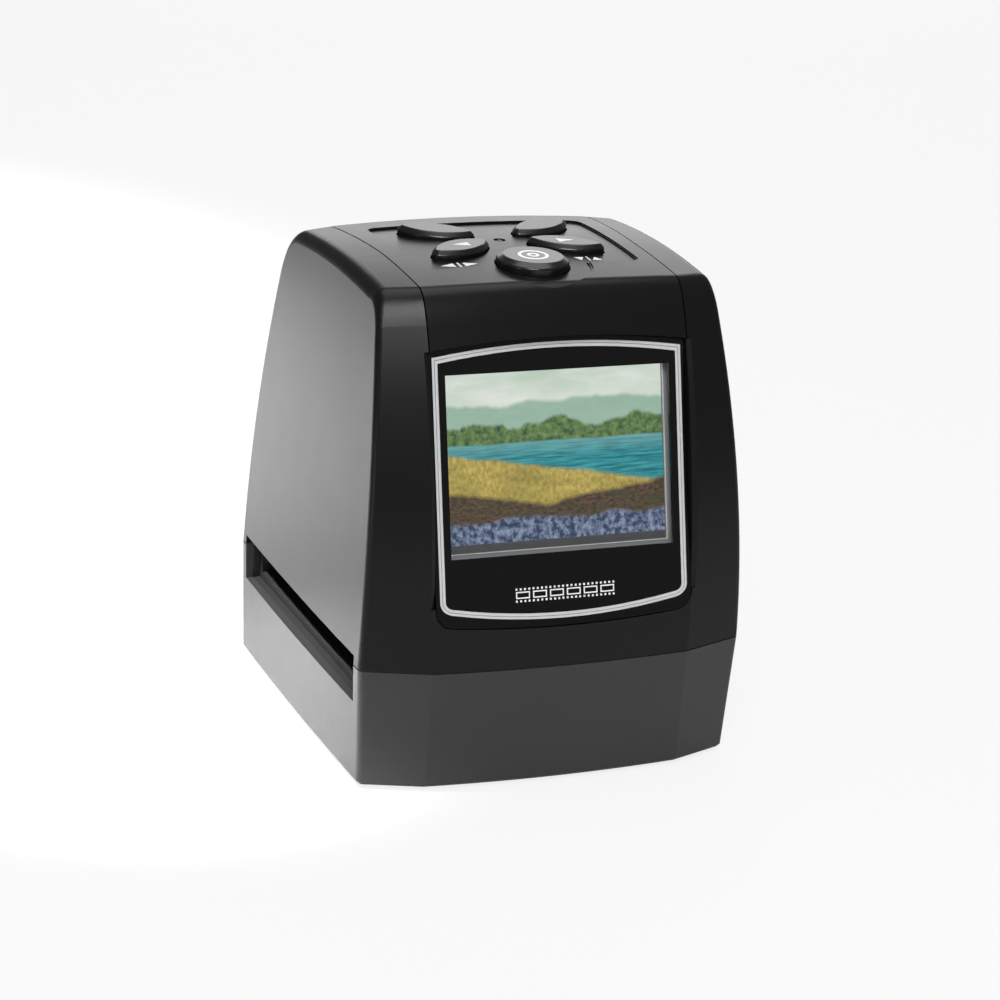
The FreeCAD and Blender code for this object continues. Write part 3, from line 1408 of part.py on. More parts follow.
piece("film_track_lower", make_track_lower())
piece("film_track_upper", make_track_upper())
piece_at("detent_pin", make_detent_pin(), "0", DETENT_Y, "track_floor_height")
piece_at("detent_spring", fixed_shape("detent_spring", make_detent_spring()), "0", DETENT_Y, CAP_TOP)
piece("detent_cap", rod(
    "detent_cap_disc", "detent_head_radius + slip_gap / 2", "detent_cap", "0", DETENT_Y, BLOCK_LOW,
))


# Light under the film.
def flat_board(name, width, depth, thickness, holes, window=None):
    """A circuit board with its screw holes, drawn round its own origin."""
    body = new_body(name + "_body")
    outline = new_sketch(body, name + "_outline")
    draw_rectangle(outline, "board", width, depth)
    if window is not None:
        draw_rectangle(outline, "window", *window)
    pad(body, name + "_plate", outline, thickness)
    drill = new_sketch(body, name + "_drill")
    for number, (x, y) in enumerate(holes):
        draw_circle(drill, f"hole_{number}", "screw_radius + slip_gap", x, y)
    pocket(body, name + "_holes", drill, thickness, True)
    return body


LIGHT_HOLES = [
    (f"{side_x} * (light_board_width / 2 - post_radius)", f"{side_y} * (light_board_depth / 2 - post_radius)")
    for side_x in (-1, 1)
    for side_y in (-1, 1)
]
piece_at(
    "backlight_board",
    flat_board("light_board", "light_board_width", "light_board_depth", "small_board", LIGHT_HOLES),
    "0", OPTICAL_Y, "light_board_height",
)
lamps = []
for column in (-1.5, -0.5, 0.5, 1.5):
    for row in (-0.5, 0.5):
        lamps.append(block(
            f"lamp_{len(lamps)}", "lamp_length", "lamp_width", "lamp_height",
            f"{column} * lamp_pitch", f"{OPTICAL_Y} + {row} * lamp_pitch", LIGHT_TOP,
        ))
piece("backlight_lamps", group("backlight_lamps", *lamps))
box_rise = f"track_floor_height - track_plate - diffuser - ({LIGHT_TOP})"
piece("light_box", cut(
    "light_box",
    block("light_box_outside", "light_box_width", "light_box_depth", box_rise, "0", OPTICAL_Y, LIGHT_TOP),
    block(
        "light_box_inside", "light_box_width - 2 * light_box_wall", "light_box_depth - 2 * light_box_wall",
        box_rise + " + 2 * overrun", "0", OPTICAL_Y, LIGHT_TOP + " - overrun",
    ),
))
piece("light_diffuser", block(
    "diffuser_plate", "light_box_width", "light_box_depth", "diffuser",
    "0", OPTICAL_Y, "track_floor_height - track_plate - diffuser",
))
piece("backlight_screws", screws(
    "backlight_screws", LIGHT_SCREWS, LIGHT_TOP, LIGHT_TOP + " - wall - slip_gap",
))


# Camera over the film.
def tapered(name, half_width, half_depth, top_half, rise, z):
    """A tapered block over the optical axis, widest at its foot."""
    thing = doc.addObject("Part::Wedge", name)
    bind(
        thing,
        Xmin=f"-({half_width})", Xmax=half_width, Zmin=f"-({half_depth})", Zmax=half_depth,
        Ymin="0", Ymax=rise,
        X2min=f"-({top_half})", X2max=top_half, Z2min=f"-({top_half})", Z2max=top_half,
    )
    thing.Placement = Placement(Vector(), Rotation(Vector(1, 0, 0), 90))
    place(thing, "0", OPTICAL_Y, z)
    return thing


def make_tower():
    outside = tapered(
        "tower_outside", "tower_base_width / 2", "tower_base_depth / 2", "tower_top_size / 2",
        "tower_height", TOWER_LOW,
    )
    flange = block(
        "tower_foot", "flange_width", "tower_base_depth", "tower_flange", "0", OPTICAL_Y, TRACK_TOP,
    )
    collar_low = f"{TOWER_TOP} - collar_length"
    collar = rod("lens_collar", "lens_radius + collar_wall", "collar_length", "0", OPTICAL_Y, collar_low)
    inside = tapered(
        "tower_inside", "tower_base_width / 2 - tower_wall", "tower_base_depth / 2 - tower_wall",
        "tower_top_size / 2 - tower_wall", "tower_height - tower_wall", TOWER_LOW,
    )
    mouth = block(
        "tower_mouth", "tower_base_width - 2 * tower_wall", "tower_base_depth - 2 * tower_wall",
        "tower_flange + overrun", "0", OPTICAL_Y, f"{TRACK_TOP} - overrun",
    )
    hollow = cut("tower_hollow", fuse("tower_solid", outside, flange), inside, mouth)
    holes = [rod(
        "lens_bore", "lens_radius + slip_gap / 2", "collar_length + 2 * overrun",
        "0", OPTICAL_Y, f"{collar_low} - overrun",
    )]
    for number, (x, y) in enumerate(FLANGE_SCREWS):
        name = f"tower_flange_hole_{number}"
        low = f"{TRACK_TOP} - overrun"
        holes.append(rod(name, "screw_radius + slip_gap", "tower_flange + 2 * overrun", x, y, low))
    for number, (x, y) in enumerate(SENSOR_SCREWS):
        low = f"{TOWER_TOP} - tower_wall - overrun"
        holes.append(rod(f"tower_top_hole_{number}", "screw_radius", "tower_wall + 2 * overrun", x, y, low))
    return cut("tower", fuse("tower_with_collar", hollow, collar), *holes)


SENSOR_SCREW_REACH = "(sensor_board_size / 2 - screw_head_radius - slip_gap)"
SENSOR_SCREWS = [(f"{side} * {SENSOR_SCREW_REACH}", OPTICAL_Y) for side in (-1, 1)]
SENSOR_HOLES = [(f"{side} * {SENSOR_SCREW_REACH}", "0") for side in (-1, 1)]


def make_lens_barrel():
    """A tube with an inner shoulder that the lens rests against, turned about its axis."""
    body = new_body("lens_barrel_body")
    sketch = new_sketch(body, "lens_barrel_profile", "XZ_Plane")
    bore = "lens_radius - lens_wall"
    shoulder = "lens_length - 2 * lens_wall"
    draw_outline(sketch, "barrel", [
        (bore, "0"),
        ("lens_radius", "0"),
        ("lens_radius", "lens_length"),
        ("lens_radius / 2", "lens_length"),
        ("lens_radius / 2", shoulder),
        (bore, shoulder),
    ])
    revolve(body, "lens_barrel_turned", sketch)
    return body


def make_lens_glass():
    """A lens that is flat above and domed below."""
    low = "lens_length - 2 * lens_wall - lens_glass_thickness"
    disc = rod("lens_disc", "lens_radius - lens_wall - slip_gap", "lens_glass_thickness", "0", "0", low)
    dome = doc.addObject("Part::Sphere", "lens_dome")
    bind(dome, Radius="2 * lens_radius")
    place(dome, "0", "0", f"{low} + 2 * lens_radius")
    thing = doc.addObject("Part::Common", "lens_body")
    thing.Base = disc
    thing.Tool = dome
    return thing


LENS_LOW = f"{TOWER_TOP} - lens_rise - lens_length"
piece("camera_tower", make_tower())
piece_at("lens_barrel", make_lens_barrel(), "0", OPTICAL_Y, LENS_LOW)
piece_at("lens_glass", make_lens_glass(), "0", OPTICAL_Y, LENS_LOW)
piece_at(
    "sensor_board",
    flat_board("sensor_board", "sensor_board_size", "sensor_board_size", "small_board", SENSOR_HOLES),
    "0", OPTICAL_Y, TOWER_TOP,
)
piece("image_sensor", block(
    "sensor_chip", "sensor_size", "sensor_size", "sensor_height",
    "0", OPTICAL_Y, f"{TOWER_TOP} - sensor_height",
))
piece("tower_screws", screws(
    "tower_screws", FLANGE_SCREWS, TOWER_LOW, "tower_flange + track_plate - slip_gap",
))
piece("sensor_screws", screws(
    "sensor_screws", SENSOR_SCREWS, f"{TOWER_TOP} + small_board", "small_board + tower_wall - slip_gap",
))

# Main board with its chips and sockets.
BOARD_WIDTH = "2 * main_board_half_width"
BOARD_DEPTH = "main_board_front_reach + main_board_rear_reach"
BOARD_MIDDLE = "(main_board_rear_reach - main_board_front_reach) / 2"
BOARD_HOLES = [
    (f"{side_x} * (main_board_half_width - board_margin)", f"{side_y} * (({BOARD_DEPTH}) / 2 - board_margin)")
    for side_x in (-1, 1)
    for side_y in (-1, 1)
]
tower_window = (
    "tower_base_width + 2 * tower_gap",
    "tower_base_depth + 2 * tower_gap",
    "0",
    f"{OPTICAL_Y} - ({BOARD_MIDDLE})",
)
piece_at(
    "main_board",
    flat_board("main_board", BOARD_WIDTH, BOARD_DEPTH, "main_board", BOARD_HOLES, tower_window),
    "0", BOARD_MIDDLE, BOARD_LOW,
)
piece("main_board_screws", screws(
    "main_board_screws", BOARD_SCREWS, BOARD_TOP, "main_board + board_post_height - overrun",
))

# The screen's connector stands under the bend of its ribbon, so its depth comes from there.
CONNECTORS = {
    "screen": ("0", None),
    "sensor": ("0", "-sensor_ribbon_reach"),
    "button": ("-button_ribbon_offset", "button_ribbon_reach"),
    "light": ("light_ribbon_offset", "-light_connector_reach"),
}


def screen_ribbon_start():
    """Where the screen's ribbon leaves the back of the panel, in the body's own frame."""
    local_y = value_of(PANEL_LOW) + size("carrier_window_margin") + size("ribbon_width") / 2
    local_z = -value_of("bezel_thickness + recess_floor + slip_gap + panel_thickness")
    return screen_frame().multVec(Vector(0, local_y, local_z))


def screen_ribbon_bend():
    """Where the screen's ribbon turns down towards the main board."""
    start = screen_ribbon_start()
    inwards = screen_frame().Rotation.multVec(Vector(0, 0, -1))
    return start + inwards * size("screen_ribbon_bend")


def make_board_chips():
    made = [
        block("processor", "chip_size", "chip_size", "chip_height", "chip_reach", "0", BOARD_TOP),
        block(
            "memory", "memory_width", "memory_depth", "chip_height", "chip_reach", "-memory_reach", BOARD_TOP,
        ),
    ]
    for number, step in enumerate((-1, 0, 1)):
        made.append(rod(
            f"capacitor_{number}", "capacitor_radius", "capacitor_height",
            "-chip_reach", f"{step} * capacitor_pitch", BOARD_TOP,
        ))
    for name, (x, y) in CONNECTORS.items():
        width = "ribbon_width + 2 * connector_margin"
        middle = "0" if y is None else y
        socket = block(
            name + "_connector", width, "connector_depth", "connector_height", x, middle, BOARD_TOP,
        )
        if y is None:
            socket.setExpression("Placement.Base.y", None)
            socket.Placement.Base.y = screen_ribbon_bend().y - size("connector_depth") / 2
        made.append(socket)
    return group("board_chips", *made)


piece("board_chips", make_board_chips())

SOCKET_FACE = "rear_reach - rear_bow - port_recess"
DATA_MIDDLE = SOCKET_FACE + " - data_port_length / 2"
piece("data_socket", fuse(
    "data_socket",
    cut(
        "data_shell",
        block(
            "data_outside", "data_port_width", "data_port_length", "data_port_height",
            "-data_port_offset", DATA_MIDDLE, BOARD_TOP,
        ),
        block(
            "data_inside",
            "data_port_width - 2 * sheet_metal",
            "data_port_length",
            "data_port_height - 2 * sheet_metal",
            "-data_port_offset", f"{DATA_MIDDLE} + sheet_metal", f"{BOARD_TOP} + sheet_metal",
        ),
    ),
    span(
        "data_tongue",
        ("-data_port_offset - data_port_width / 4", "-data_port_offset + data_port_width / 4"),
        (f"{SOCKET_FACE} - data_port_length + sheet_metal / 2", f"{SOCKET_FACE} - 2 * sheet_metal"),
        (f"{BOARD_TOP} + data_port_height / 2", f"{BOARD_TOP} + data_port_height / 2 + 2 * sheet_metal"),
    ),
))
JACK_Z = f"{BOARD_TOP} + jack_width / 2"
JACK_BACK = f"{SOCKET_FACE} - jack_nose_length"
piece("picture_socket", cut(
    "picture_socket",
    fuse(
        "jack_blank",
        block(
            "jack_body", "jack_width", "jack_length", "jack_width",
            "-jack_offset", f"{JACK_BACK} - jack_length / 2", BOARD_TOP,
        ),
        rod("jack_nose", "jack_nose_radius", "jack_nose_length", "-jack_offset", JACK_BACK, JACK_Z, "Y"),
    ),
    rod(
        "jack_bore", "jack_bore_radius", "jack_length",
        "-jack_offset", f"{SOCKET_FACE} - jack_length + overrun", JACK_Z, "Y",
    ),
))
piece("card_socket", cut(
    "card_socket",
    block(
        "card_outside",
        "card_slot_width + 2 * card_side",
        "card_length",
        "card_slot_height + 2 * sheet_metal",
        "card_offset", f"{SOCKET_FACE} - card_length / 2", BOARD_TOP,
    ),
    block(
        "card_inside", "card_slot_width", "card_length", "card_slot_height",
        "card_offset", f"{SOCKET_FACE} - card_length / 2 + card_side", f"{BOARD_TOP} + sheet_metal",
    ),
))


# Flat ribbon leads, bent in the plane of Y and Z.
def ribbon_shape(points, x):
    """A flat strip that follows the points, with mitred bends."""
    half = size("ribbon") / 2
    left = []
    right = []
    for number, point in enumerate(points):
        normals = []
        for a, b in ((number - 1, number), (number, number + 1)):
            if a >= 0 and b < len(points):
                along = (points[b] - points[a]).normalize()
                normals.append(Vector(0, -along.z, along.y))
        normal = normals[0]
        stretch = 1
        if len(normals) == 2:
            normal = (normals[0] + normals[1]).normalize()
            stretch = 1 / normal.dot(normals[0])
        left.append(point + normal * half * stretch)
        right.append(point - normal * half * stretch)
    corners = left + right[::-1]
    face = Part.Face(Part.makePolygon(corners + corners[:1]))
    width = size("ribbon_width")
    strip = face.extrude(Vector(width, 0, 0))
    strip.translate(Vector(x - width / 2, 0, 0))
    return strip


def at_yz(y, z):
    return Vector(0, y, z)


def make_ribbons():
    board_top = value_of(BOARD_TOP)
    socket_top = board_top + size("connector_height")
    half = size("ribbon") / 2
    bend = screen_ribbon_bend()
    made = {}
    made["screen_ribbon"] = ribbon_shape([screen_ribbon_start(), bend, at_yz(bend.y, socket_top)], 0)
    sensor_y = -size("sensor_ribbon_reach")
    sensor_z = value_of(TOWER_TOP + " + small_board") + half
    sensor_edge = value_of(OPTICAL_Y + " - sensor_board_size / 2") + size("connector_depth")
    made["sensor_ribbon"] = ribbon_shape(
        [at_yz(sensor_edge, sensor_z), at_yz(sensor_y, sensor_z), at_yz(sensor_y, socket_top)], 0
    )
    button_y = size("button_ribbon_reach")
    made["button_ribbon"] = ribbon_shape(
        [at_yz(button_y, size("button_board_height")), at_yz(button_y, socket_top)],
        -size("button_ribbon_offset"),
    )
    light_y = -size("light_ribbon_reach")
    light_z = value_of(LIGHT_TOP) + half
    light_edge = value_of(OPTICAL_Y + " - light_board_depth / 2") + size("connector_depth") / 2
    light_end = board_top + size("connector_height") / 2
    made["light_ribbon"] = ribbon_shape(
        [
            at_yz(light_edge, light_z),
            at_yz(light_y, light_z),
            at_yz(light_y, light_end),
            at_yz(-size("light_connector_reach") - size("connector_depth") / 2, light_end),
        ],
        size("light_ribbon_offset"),
    )
    return made


for ribbon_name, ribbon_form in make_ribbons().items():
    piece(ribbon_name, fixed_shape(ribbon_name, ribbon_form))

# Screen, drawn on its tilted face.
PANEL_FRONT = "-(bezel_thickness + recess_floor + slip_gap)"
PANEL_BACK = PANEL_FRONT + " - panel_thickness"
PANEL_MIDDLE = "panel_rise - panel_height / 2"
CARRIER_BACK = PANEL_BACK + " - carrier_back"


def make_bezel():
    plate = fixed_shape("bezel_plate", bezel_blank(-size("bezel_gap"), -size("bezel_thickness"), 0))
    window = block(
        "bezel_window", "window_width", "window_height", "bezel_thickness + 2 * overrun",
        "0", "-window_height / 2", "-bezel_thickness - overrun",
    )
    rebate = block(
        "pane_seat", "window_width + 2 * pane_lip", "window_height + 2 * pane_lip",
        "pane_thickness + overrun", "0", "-window_height / 2", "-bezel_thickness - overrun",
    )
    return cut("bezel", plate, window, rebate)


def make_carrier():
    body = new_body("carrier_body")
    outline = new_sketch(body, "carrier_outline", height=PANEL_FRONT)
    draw_rectangle(
        outline, "carrier", "panel_width + 2 * carrier_side_rim", "panel_height + 2 * carrier_rim",
        "panel_shift", PANEL_MIDDLE,
    )
    pad(body, "carrier_block", outline, "panel_thickness + carrier_back", True)
    seat = new_sketch(body, "panel_seat", height=PANEL_FRONT)
    draw_rectangle(
        seat, "seat", "panel_width + 2 * slip_gap", "panel_height + 2 * slip_gap",
        "panel_shift", PANEL_MIDDLE,
    )
    pocket(body, "panel_pocket", seat, "panel_thickness")
    back = new_sketch(body, "carrier_back_window", height=PANEL_FRONT)
    draw_rectangle(
        back, "back", "panel_width - 2 * carrier_window_margin", "panel_height - 2 * carrier_window_margin",
        "panel_shift", PANEL_MIDDLE,
    )
    pocket(body, "carrier_opening", back, "panel_thickness + carrier_back + overrun")
    drill = new_sketch(body, "carrier_drill", height=PANEL_FRONT)
    for number, (x, y) in enumerate(CARRIER_SCREWS):
        draw_circle(drill, f"hole_{number}", "screw_radius + slip_gap", x, y)
    pocket(body, "carrier_holes", drill, "panel_thickness + carrier_back + overrun")
    return body


screen_piece("screen_bezel", make_bezel())
screen_piece("window_pane", block(
    "pane", "window_width + 2 * pane_lip - 2 * slip_gap", "window_height + 2 * pane_lip - 2 * slip_gap",
    "pane_thickness - slip_gap / 2", "0", "-window_height / 2", "-bezel_thickness",
))
screen_piece("screen_panel", block(
    "panel_glass", "panel_width", "panel_height", "panel_thickness", "panel_shift", PANEL_MIDDLE, PANEL_BACK,
))
screen_piece("screen_carrier", make_carrier())
screen_piece("screen_screws", screws(
    "screen_screws", CARRIER_SCREWS, CARRIER_BACK,
    "panel_thickness + carrier_back + recess_floor / 2", False,
))

# Buttons. Their heights are counted from the body's underside.
SCAN_FACE = "crown_height + crown_bow + button_proud - scan_drop"
FRONT_FACE = "crown_height + crown_bow + button_proud - panel_recess"
REAR_FACE = FRONT_FACE + " - rear_leaf_drop"
FRONT_FLANGE = "crown_height - cover_wall - slip_gap"
REAR_FLANGE = FRONT_FLANGE + " - rear_flange_drop"
PLUNGER_TOP = SWITCH_TOP + " + plunger_rise"


def make_scan_button():
    """The round button, turned about its axis: stem, flange, skirt and sloped face."""
    body = new_body("scan_button_body")
    sketch = new_sketch(body, "scan_button_profile", "XZ_Plane")
    draw_outline(sketch, "scan", [
        ("0", PLUNGER_TOP),
        ("stem_radius", PLUNGER_TOP),
        ("stem_radius", f"{FRONT_FLANGE} - button_flange"),
        ("scan_radius + button_flange_reach", f"{FRONT_FLANGE} - button_flange"),
        ("scan_radius + button_flange_reach", FRONT_FLANGE),
        ("scan_radius", FRONT_FLANGE),
        ("scan_radius", f"{SCAN_FACE} - button_chamfer"),
        ("scan_face_radius", SCAN_FACE),
        ("0", SCAN_FACE),
    ])
    revolve(body, "scan_button_turned", sketch)
    soften_face(body, "scan_button", value_of(SCAN_FACE))
    return body


def edge_names(shape, test):
    return [f"Edge{number}" for number, edge in enumerate(shape.Edges, start=1) if test(edge.BoundBox)]


def soften_face(body, name, top):
    """Rounds the two rims of a button's sloped edge."""
    last = body.Tip
    low = top - size("button_chamfer") - size("slip_gap")
    rims = edge_names(last.Shape, lambda box: box.ZMin > low and box.ZLength < size("slip_gap"))
    feature = body.newObject("PartDesign::Fillet", name + "_softening")
    feature.Base = (last, rims)
    bind(feature, Radius="button_edge")
    doc.recompute()


def draw_leaf(sketch, grow):
    """Two arcs from tip to tip, bound to the leaf's length and width."""
    length = f"(leaf_length + 2 * ({grow}))"
    width = f"(leaf_width + 2 * ({grow}))"
    half = value_of(length) / 2
    swell = value_of(width) / 2
    bend = f"({length} * {length} + {width} * {width}) / (4 * {width})"
    left = Vector(-half, 0, 0)
    right = Vector(half, 0, 0)
    lower = sketch.addGeometry(Part.Arc(left, Vector(0, -swell, 0), right))
    upper = sketch.addGeometry(Part.Arc(right, Vector(0, swell, 0), left))
    sketch.addConstraint(Sketcher.Constraint("Coincident", lower, 1, upper, 2))
    sketch.addConstraint(Sketcher.Constraint("Coincident", lower, 2, upper, 1))
    sketch.addConstraint(Sketcher.Constraint("PointOnObject", lower, 1, -1))
    sketch.addConstraint(Sketcher.Constraint("PointOnObject", lower, 2, -1))
    sketch.addConstraint(Sketcher.Constraint("DistanceX", -1, 1, lower, 2, half))
    name_last(sketch, "right_tip", f"{length} / 2")
    sketch.addConstraint(Sketcher.Constraint("DistanceX", lower, 1, lower, 2, 2 * half))
    name_last(sketch, "tip_to_tip", length)
    for number, side in ((lower, "lower"), (upper, "upper")):
        sketch.addConstraint(Sketcher.Constraint("Radius", number, value_of(bend)))
        name_last(sketch, side + "_bend", bend)


def make_leaf_button(name, face, flange):
    body = new_body(name + "_body")
    stem = new_sketch(body, name + "_stem", height=PLUNGER_TOP)
    draw_circle(stem, "stem", "stem_radius")
    pad(body, name + "_stem_pad", stem, f"{flange} - ({PLUNGER_TOP})")
    rim = new_sketch(body, name + "_flange", height=f"{flange} - button_flange")
    draw_leaf(rim, "button_flange_reach")
    pad(body, name + "_flange_pad", rim, "button_flange")
    skirt = new_sketch(body, name + "_skirt", height=flange)
    draw_leaf(skirt, "0")
    skirt_pad = pad(body, name + "_skirt_pad", skirt, f"{face} - ({flange})")
    low = value_of(flange) - size("slip_gap")
    top = value_of(face)
    tall = size("button_flange")
    tips = edge_names(skirt_pad.Shape, lambda box: box.ZMin > low and box.ZLength > tall)
    tip_rounding = body.newObject("PartDesign::Fillet", name + "_tips")
    tip_rounding.Base = (skirt_pad, tips)
    bind(tip_rounding, Radius="leaf_tip")
    doc.recompute()
    rims = edge_names(tip_rounding.Shape, lambda box: box.ZMin > top - size("slip_gap"))
    slope = body.newObject("PartDesign::Chamfer", name + "_slope")
    slope.Base = (tip_rounding, rims)
    bind(slope, Size="button_chamfer")
    doc.recompute()
    soften_face(body, name, top)
    return body


def make_plunger(name, x, y):
    low = f"{SWITCH_TOP} - plunger_depth"
    return piece(name, rod(name + "_rod", "plunger_radius", "plunger_rise + plunger_depth", x, y, low))


BUTTON_PLACES = {
    "scan": ("0", "-scan_reach"),
    "mirror": ("-leaf_spread", "leaf_front_reach"),
    "flip": ("leaf_spread", "leaf_front_reach"),
    "power": ("-leaf_spread", "leaf_rear_reach"),
    "mode": ("leaf_spread", "leaf_rear_reach"),
}


def make_switches():
    bodies = []
    holes = []
    for name, (x, y) in BUTTON_PLACES.items():
        bodies.append(block(
            name + "_switch", "switch_size", "switch_size", "switch_height", x, y, BUTTON_BOARD_TOP,
        ))
        depth = "plunger_depth + button_travel + slip_gap"
        holes.append(rod(
            name + "_switch_hole", "plunger_radius + slip_gap", depth + " + overrun",
            x, y, f"{SWITCH_TOP} - ({depth})",
        ))
    made = []
    for number, name in enumerate(BUTTON_PLACES):
        made.append(cut(name + "_switch_case", bodies[number], holes[number]))
    return group("switches", *made)


piece_at("scan_button", make_scan_button(), "0", "-scan_reach", "0")
for button, (x, y) in BUTTON_PLACES.items():
    if button == "scan":
        continue
    heights = (REAR_FACE, REAR_FLANGE) if button in ("power", "mode") else (FRONT_FACE, FRONT_FLANGE)
    cap = make_leaf_button(button + "_button", *heights)
    turn = leaf_places()[button][2]
    piece_at(button + "_button", cap, x, y, "0", Rotation(Vector(0, 0, 1), turn))
for button, (x, y) in BUTTON_PLACES.items():
    make_plunger(button + "_plunger", x, y)
piece("switches", make_switches())
BUTTON_BOARD_DEPTH = "button_board_front_reach + button_board_rear_reach"
BUTTON_BOARD_HOLE_Y = f"(({BUTTON_BOARD_DEPTH}) / 2 - post_radius)"
BUTTON_BOARD_HOLES = [
    (f"{side_x} * (button_board_half_width - post_radius)", f"{side_y} * {BUTTON_BOARD_HOLE_Y}")
    for side_x in (-1, 1)
    for side_y in (-1, 1)
]
piece_at(
    "button_board",
    flat_board(
        "button_board", "2 * button_board_half_width", BUTTON_BOARD_DEPTH, "small_board", BUTTON_BOARD_HOLES,
    ),
    "0", "(button_board_rear_reach - button_board_front_reach) / 2", "button_board_height",
)
piece("button_board_screws", screws(
    "button_board_screws", BUTTON_BOARD_SCREWS, "button_board_height",
    "small_board + small_screw_length - overrun", False,
))
light_top = f"crown_height + crown_bow - panel_recess - light_hole_radius - ({BUTTON_BOARD_TOP})"
light_dome = doc.addObject("Part::Sphere", "indicator_dome")
bind(light_dome, Radius="light_hole_radius - slip_gap")
place(light_dome, "0", "light_reach", f"{BUTTON_BOARD_TOP} + {light_top}")
piece("indicator_light", fuse(
    "indicator_light",
    rod("indicator_stem", "light_hole_radius - slip_gap", light_top, "0", "light_reach", BUTTON_BOARD_TOP),
    light_dome,
))

# Feet and base screws.
feet = []
for number, (x, y) in enumerate(FEET):
    pad_blank = rod(f"foot_blank_{number}", "foot_radius", "foot_proud + foot_seat", x, y, "-foot_proud")
    feet.append(pad_blank)
piece("rubber_feet", group("rubber_feet", *feet))
piece("base_screws", screws("base_screws", BASE_SCREWS, "base_screw_seat", "base_screw_length", False))


def write_pieces():
    doc.recompute()
    for thing in doc.Objects:
        if "Invalid" in thing.State or "Error" in thing.State:
            raise RuntimeError(f"{thing.Name} is {thing.State}")
    for thing in PIECES:
        if thing.Shape.isNull() or not thing.Shape.isValid():
            raise RuntimeError(thing.Label + " has no valid shape")
    os.makedirs("parts", exist_ok=True)
    for thing in PIECES:
        thing.Shape.exportStep(f"parts/{thing.Label}.step")
        print(thing.Label, len(thing.Shape.Solids), round(thing.Shape.Volume, 1))


write_pieces()
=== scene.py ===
"""A desktop film scanner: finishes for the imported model, the printed marks, the lit screen and the studio."""

import math

import bpy
from bpy.props import FloatProperty, FloatVectorProperty, IntProperty, PointerProperty
from mathutils import Matrix, Vector


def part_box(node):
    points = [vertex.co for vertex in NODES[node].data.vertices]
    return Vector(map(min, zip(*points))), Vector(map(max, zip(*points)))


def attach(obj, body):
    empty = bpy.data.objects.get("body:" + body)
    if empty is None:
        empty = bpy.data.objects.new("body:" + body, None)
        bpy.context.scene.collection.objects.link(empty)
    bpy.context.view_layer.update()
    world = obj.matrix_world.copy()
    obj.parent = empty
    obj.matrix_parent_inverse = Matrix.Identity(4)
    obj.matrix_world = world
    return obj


bl_info = {
    "name": "Film scanner",
    "version": (1, 0, 0),
    "blender": (4, 5, 0),
    "location": "View3D > Sidebar > Film scanner",
    "description": "Finishes, prints, screen and studio of a desktop film scanner",
    "category": "Object",
}

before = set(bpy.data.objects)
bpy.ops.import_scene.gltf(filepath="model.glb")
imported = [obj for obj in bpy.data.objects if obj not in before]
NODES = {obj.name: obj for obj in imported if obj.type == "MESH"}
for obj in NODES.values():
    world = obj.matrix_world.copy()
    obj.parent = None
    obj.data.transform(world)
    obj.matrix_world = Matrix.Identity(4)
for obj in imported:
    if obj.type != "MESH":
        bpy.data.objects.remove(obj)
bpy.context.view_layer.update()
MM = 0.001

# Bezier handles: a quarter circle's for each unit of its radius, and an arch's for each unit of its rise.
QUARTER_CIRCLE_HANDLE = 0.5523
ARCH_HANDLE = 4 / 3

STEEL_COLOUR = (0.56, 0.56, 0.57)
BRASS_COLOUR = (0.62, 0.45, 0.20)


def grey(level):
    """The linear value of a display tone between 0 and 255."""
    share = level / 255
    if share <= 0.04045:
        return share / 12.92
    return ((share + 0.055) / 1.055) ** 2.4


def tone(red, green, blue):
    """The linear colour of three display tones between 0 and 255."""
    return (grey(red), grey(green), grey(blue), 1.0)


# Settings that a user would change.
class ScannerSizes(bpy.types.PropertyGroup):
    screen_tilt: FloatProperty(
        name="Screen tilt", description="Lean of the bezel from upright",
        default=math.radians(15.7), subtype="ANGLE",
    )
    window_top: FloatVectorProperty(
        name="Window top", description="Middle of the screen window's upper edge",
        default=(0, -27.26 * MM, 86.17 * MM), subtype="XYZ", unit="LENGTH",
    )
    window_width: FloatProperty(
        name="Window width", description="Width of the screen window",
        default=50 * MM, unit="LENGTH",
    )
    line_width: FloatProperty(
        name="Line width", description="Width of the printed line",
        default=1.2 * MM, unit="LENGTH",
    )
    print_thickness: FloatProperty(
        name="Print thickness", description="Thickness of every printed mark",
        default=0.03 * MM, unit="LENGTH",
    )
    line_half_width: FloatProperty(
        name="Line half width", description="Printed line's outer edge from the middle",
        default=27.8 * MM, unit="LENGTH",
    )
    line_corner_rise: FloatProperty(
        name="Line corner rise", description="Printed line's upper corners over the window",
        default=3.7 * MM, unit="LENGTH",
    )
    line_crown: FloatProperty(
        name="Line crown", description="How far the printed line's top bows up",
        default=2.1 * MM, unit="LENGTH",
    )
    line_drop: FloatProperty(
        name="Line drop", description="Printed line's lower corners under the window's top",
        default=49 * MM, unit="LENGTH",
    )
    line_belly: FloatProperty(
        name="Line belly", description="How far the printed line's bottom bows down",
        default=2.3 * MM, unit="LENGTH",
    )
    line_radius: FloatProperty(
        name="Line radius", description="Rounding of the printed line's lower corners",
        default=2.8 * MM, unit="LENGTH",
    )
    picture_width: FloatProperty(
        name="Picture width", description="Lit width of the screen",
        default=48.96 * MM, unit="LENGTH",
    )
    picture_height: FloatProperty(
        name="Picture height", description="Lit height of the screen",
        default=36.72 * MM, unit="LENGTH",
    )
    picture_rise: FloatProperty(
        name="Picture rise", description="Lit area's top over the window's top",
        default=1.6 * MM, unit="LENGTH",
    )
    panel_depth: FloatProperty(
        name="Panel depth", description="Screen panel's face behind the bezel's face",
        default=2.9 * MM, unit="LENGTH",
    )
    mark_count: IntProperty(
        name="Film frames", description="Frames of the printed film strip under the window", default=6,
    )


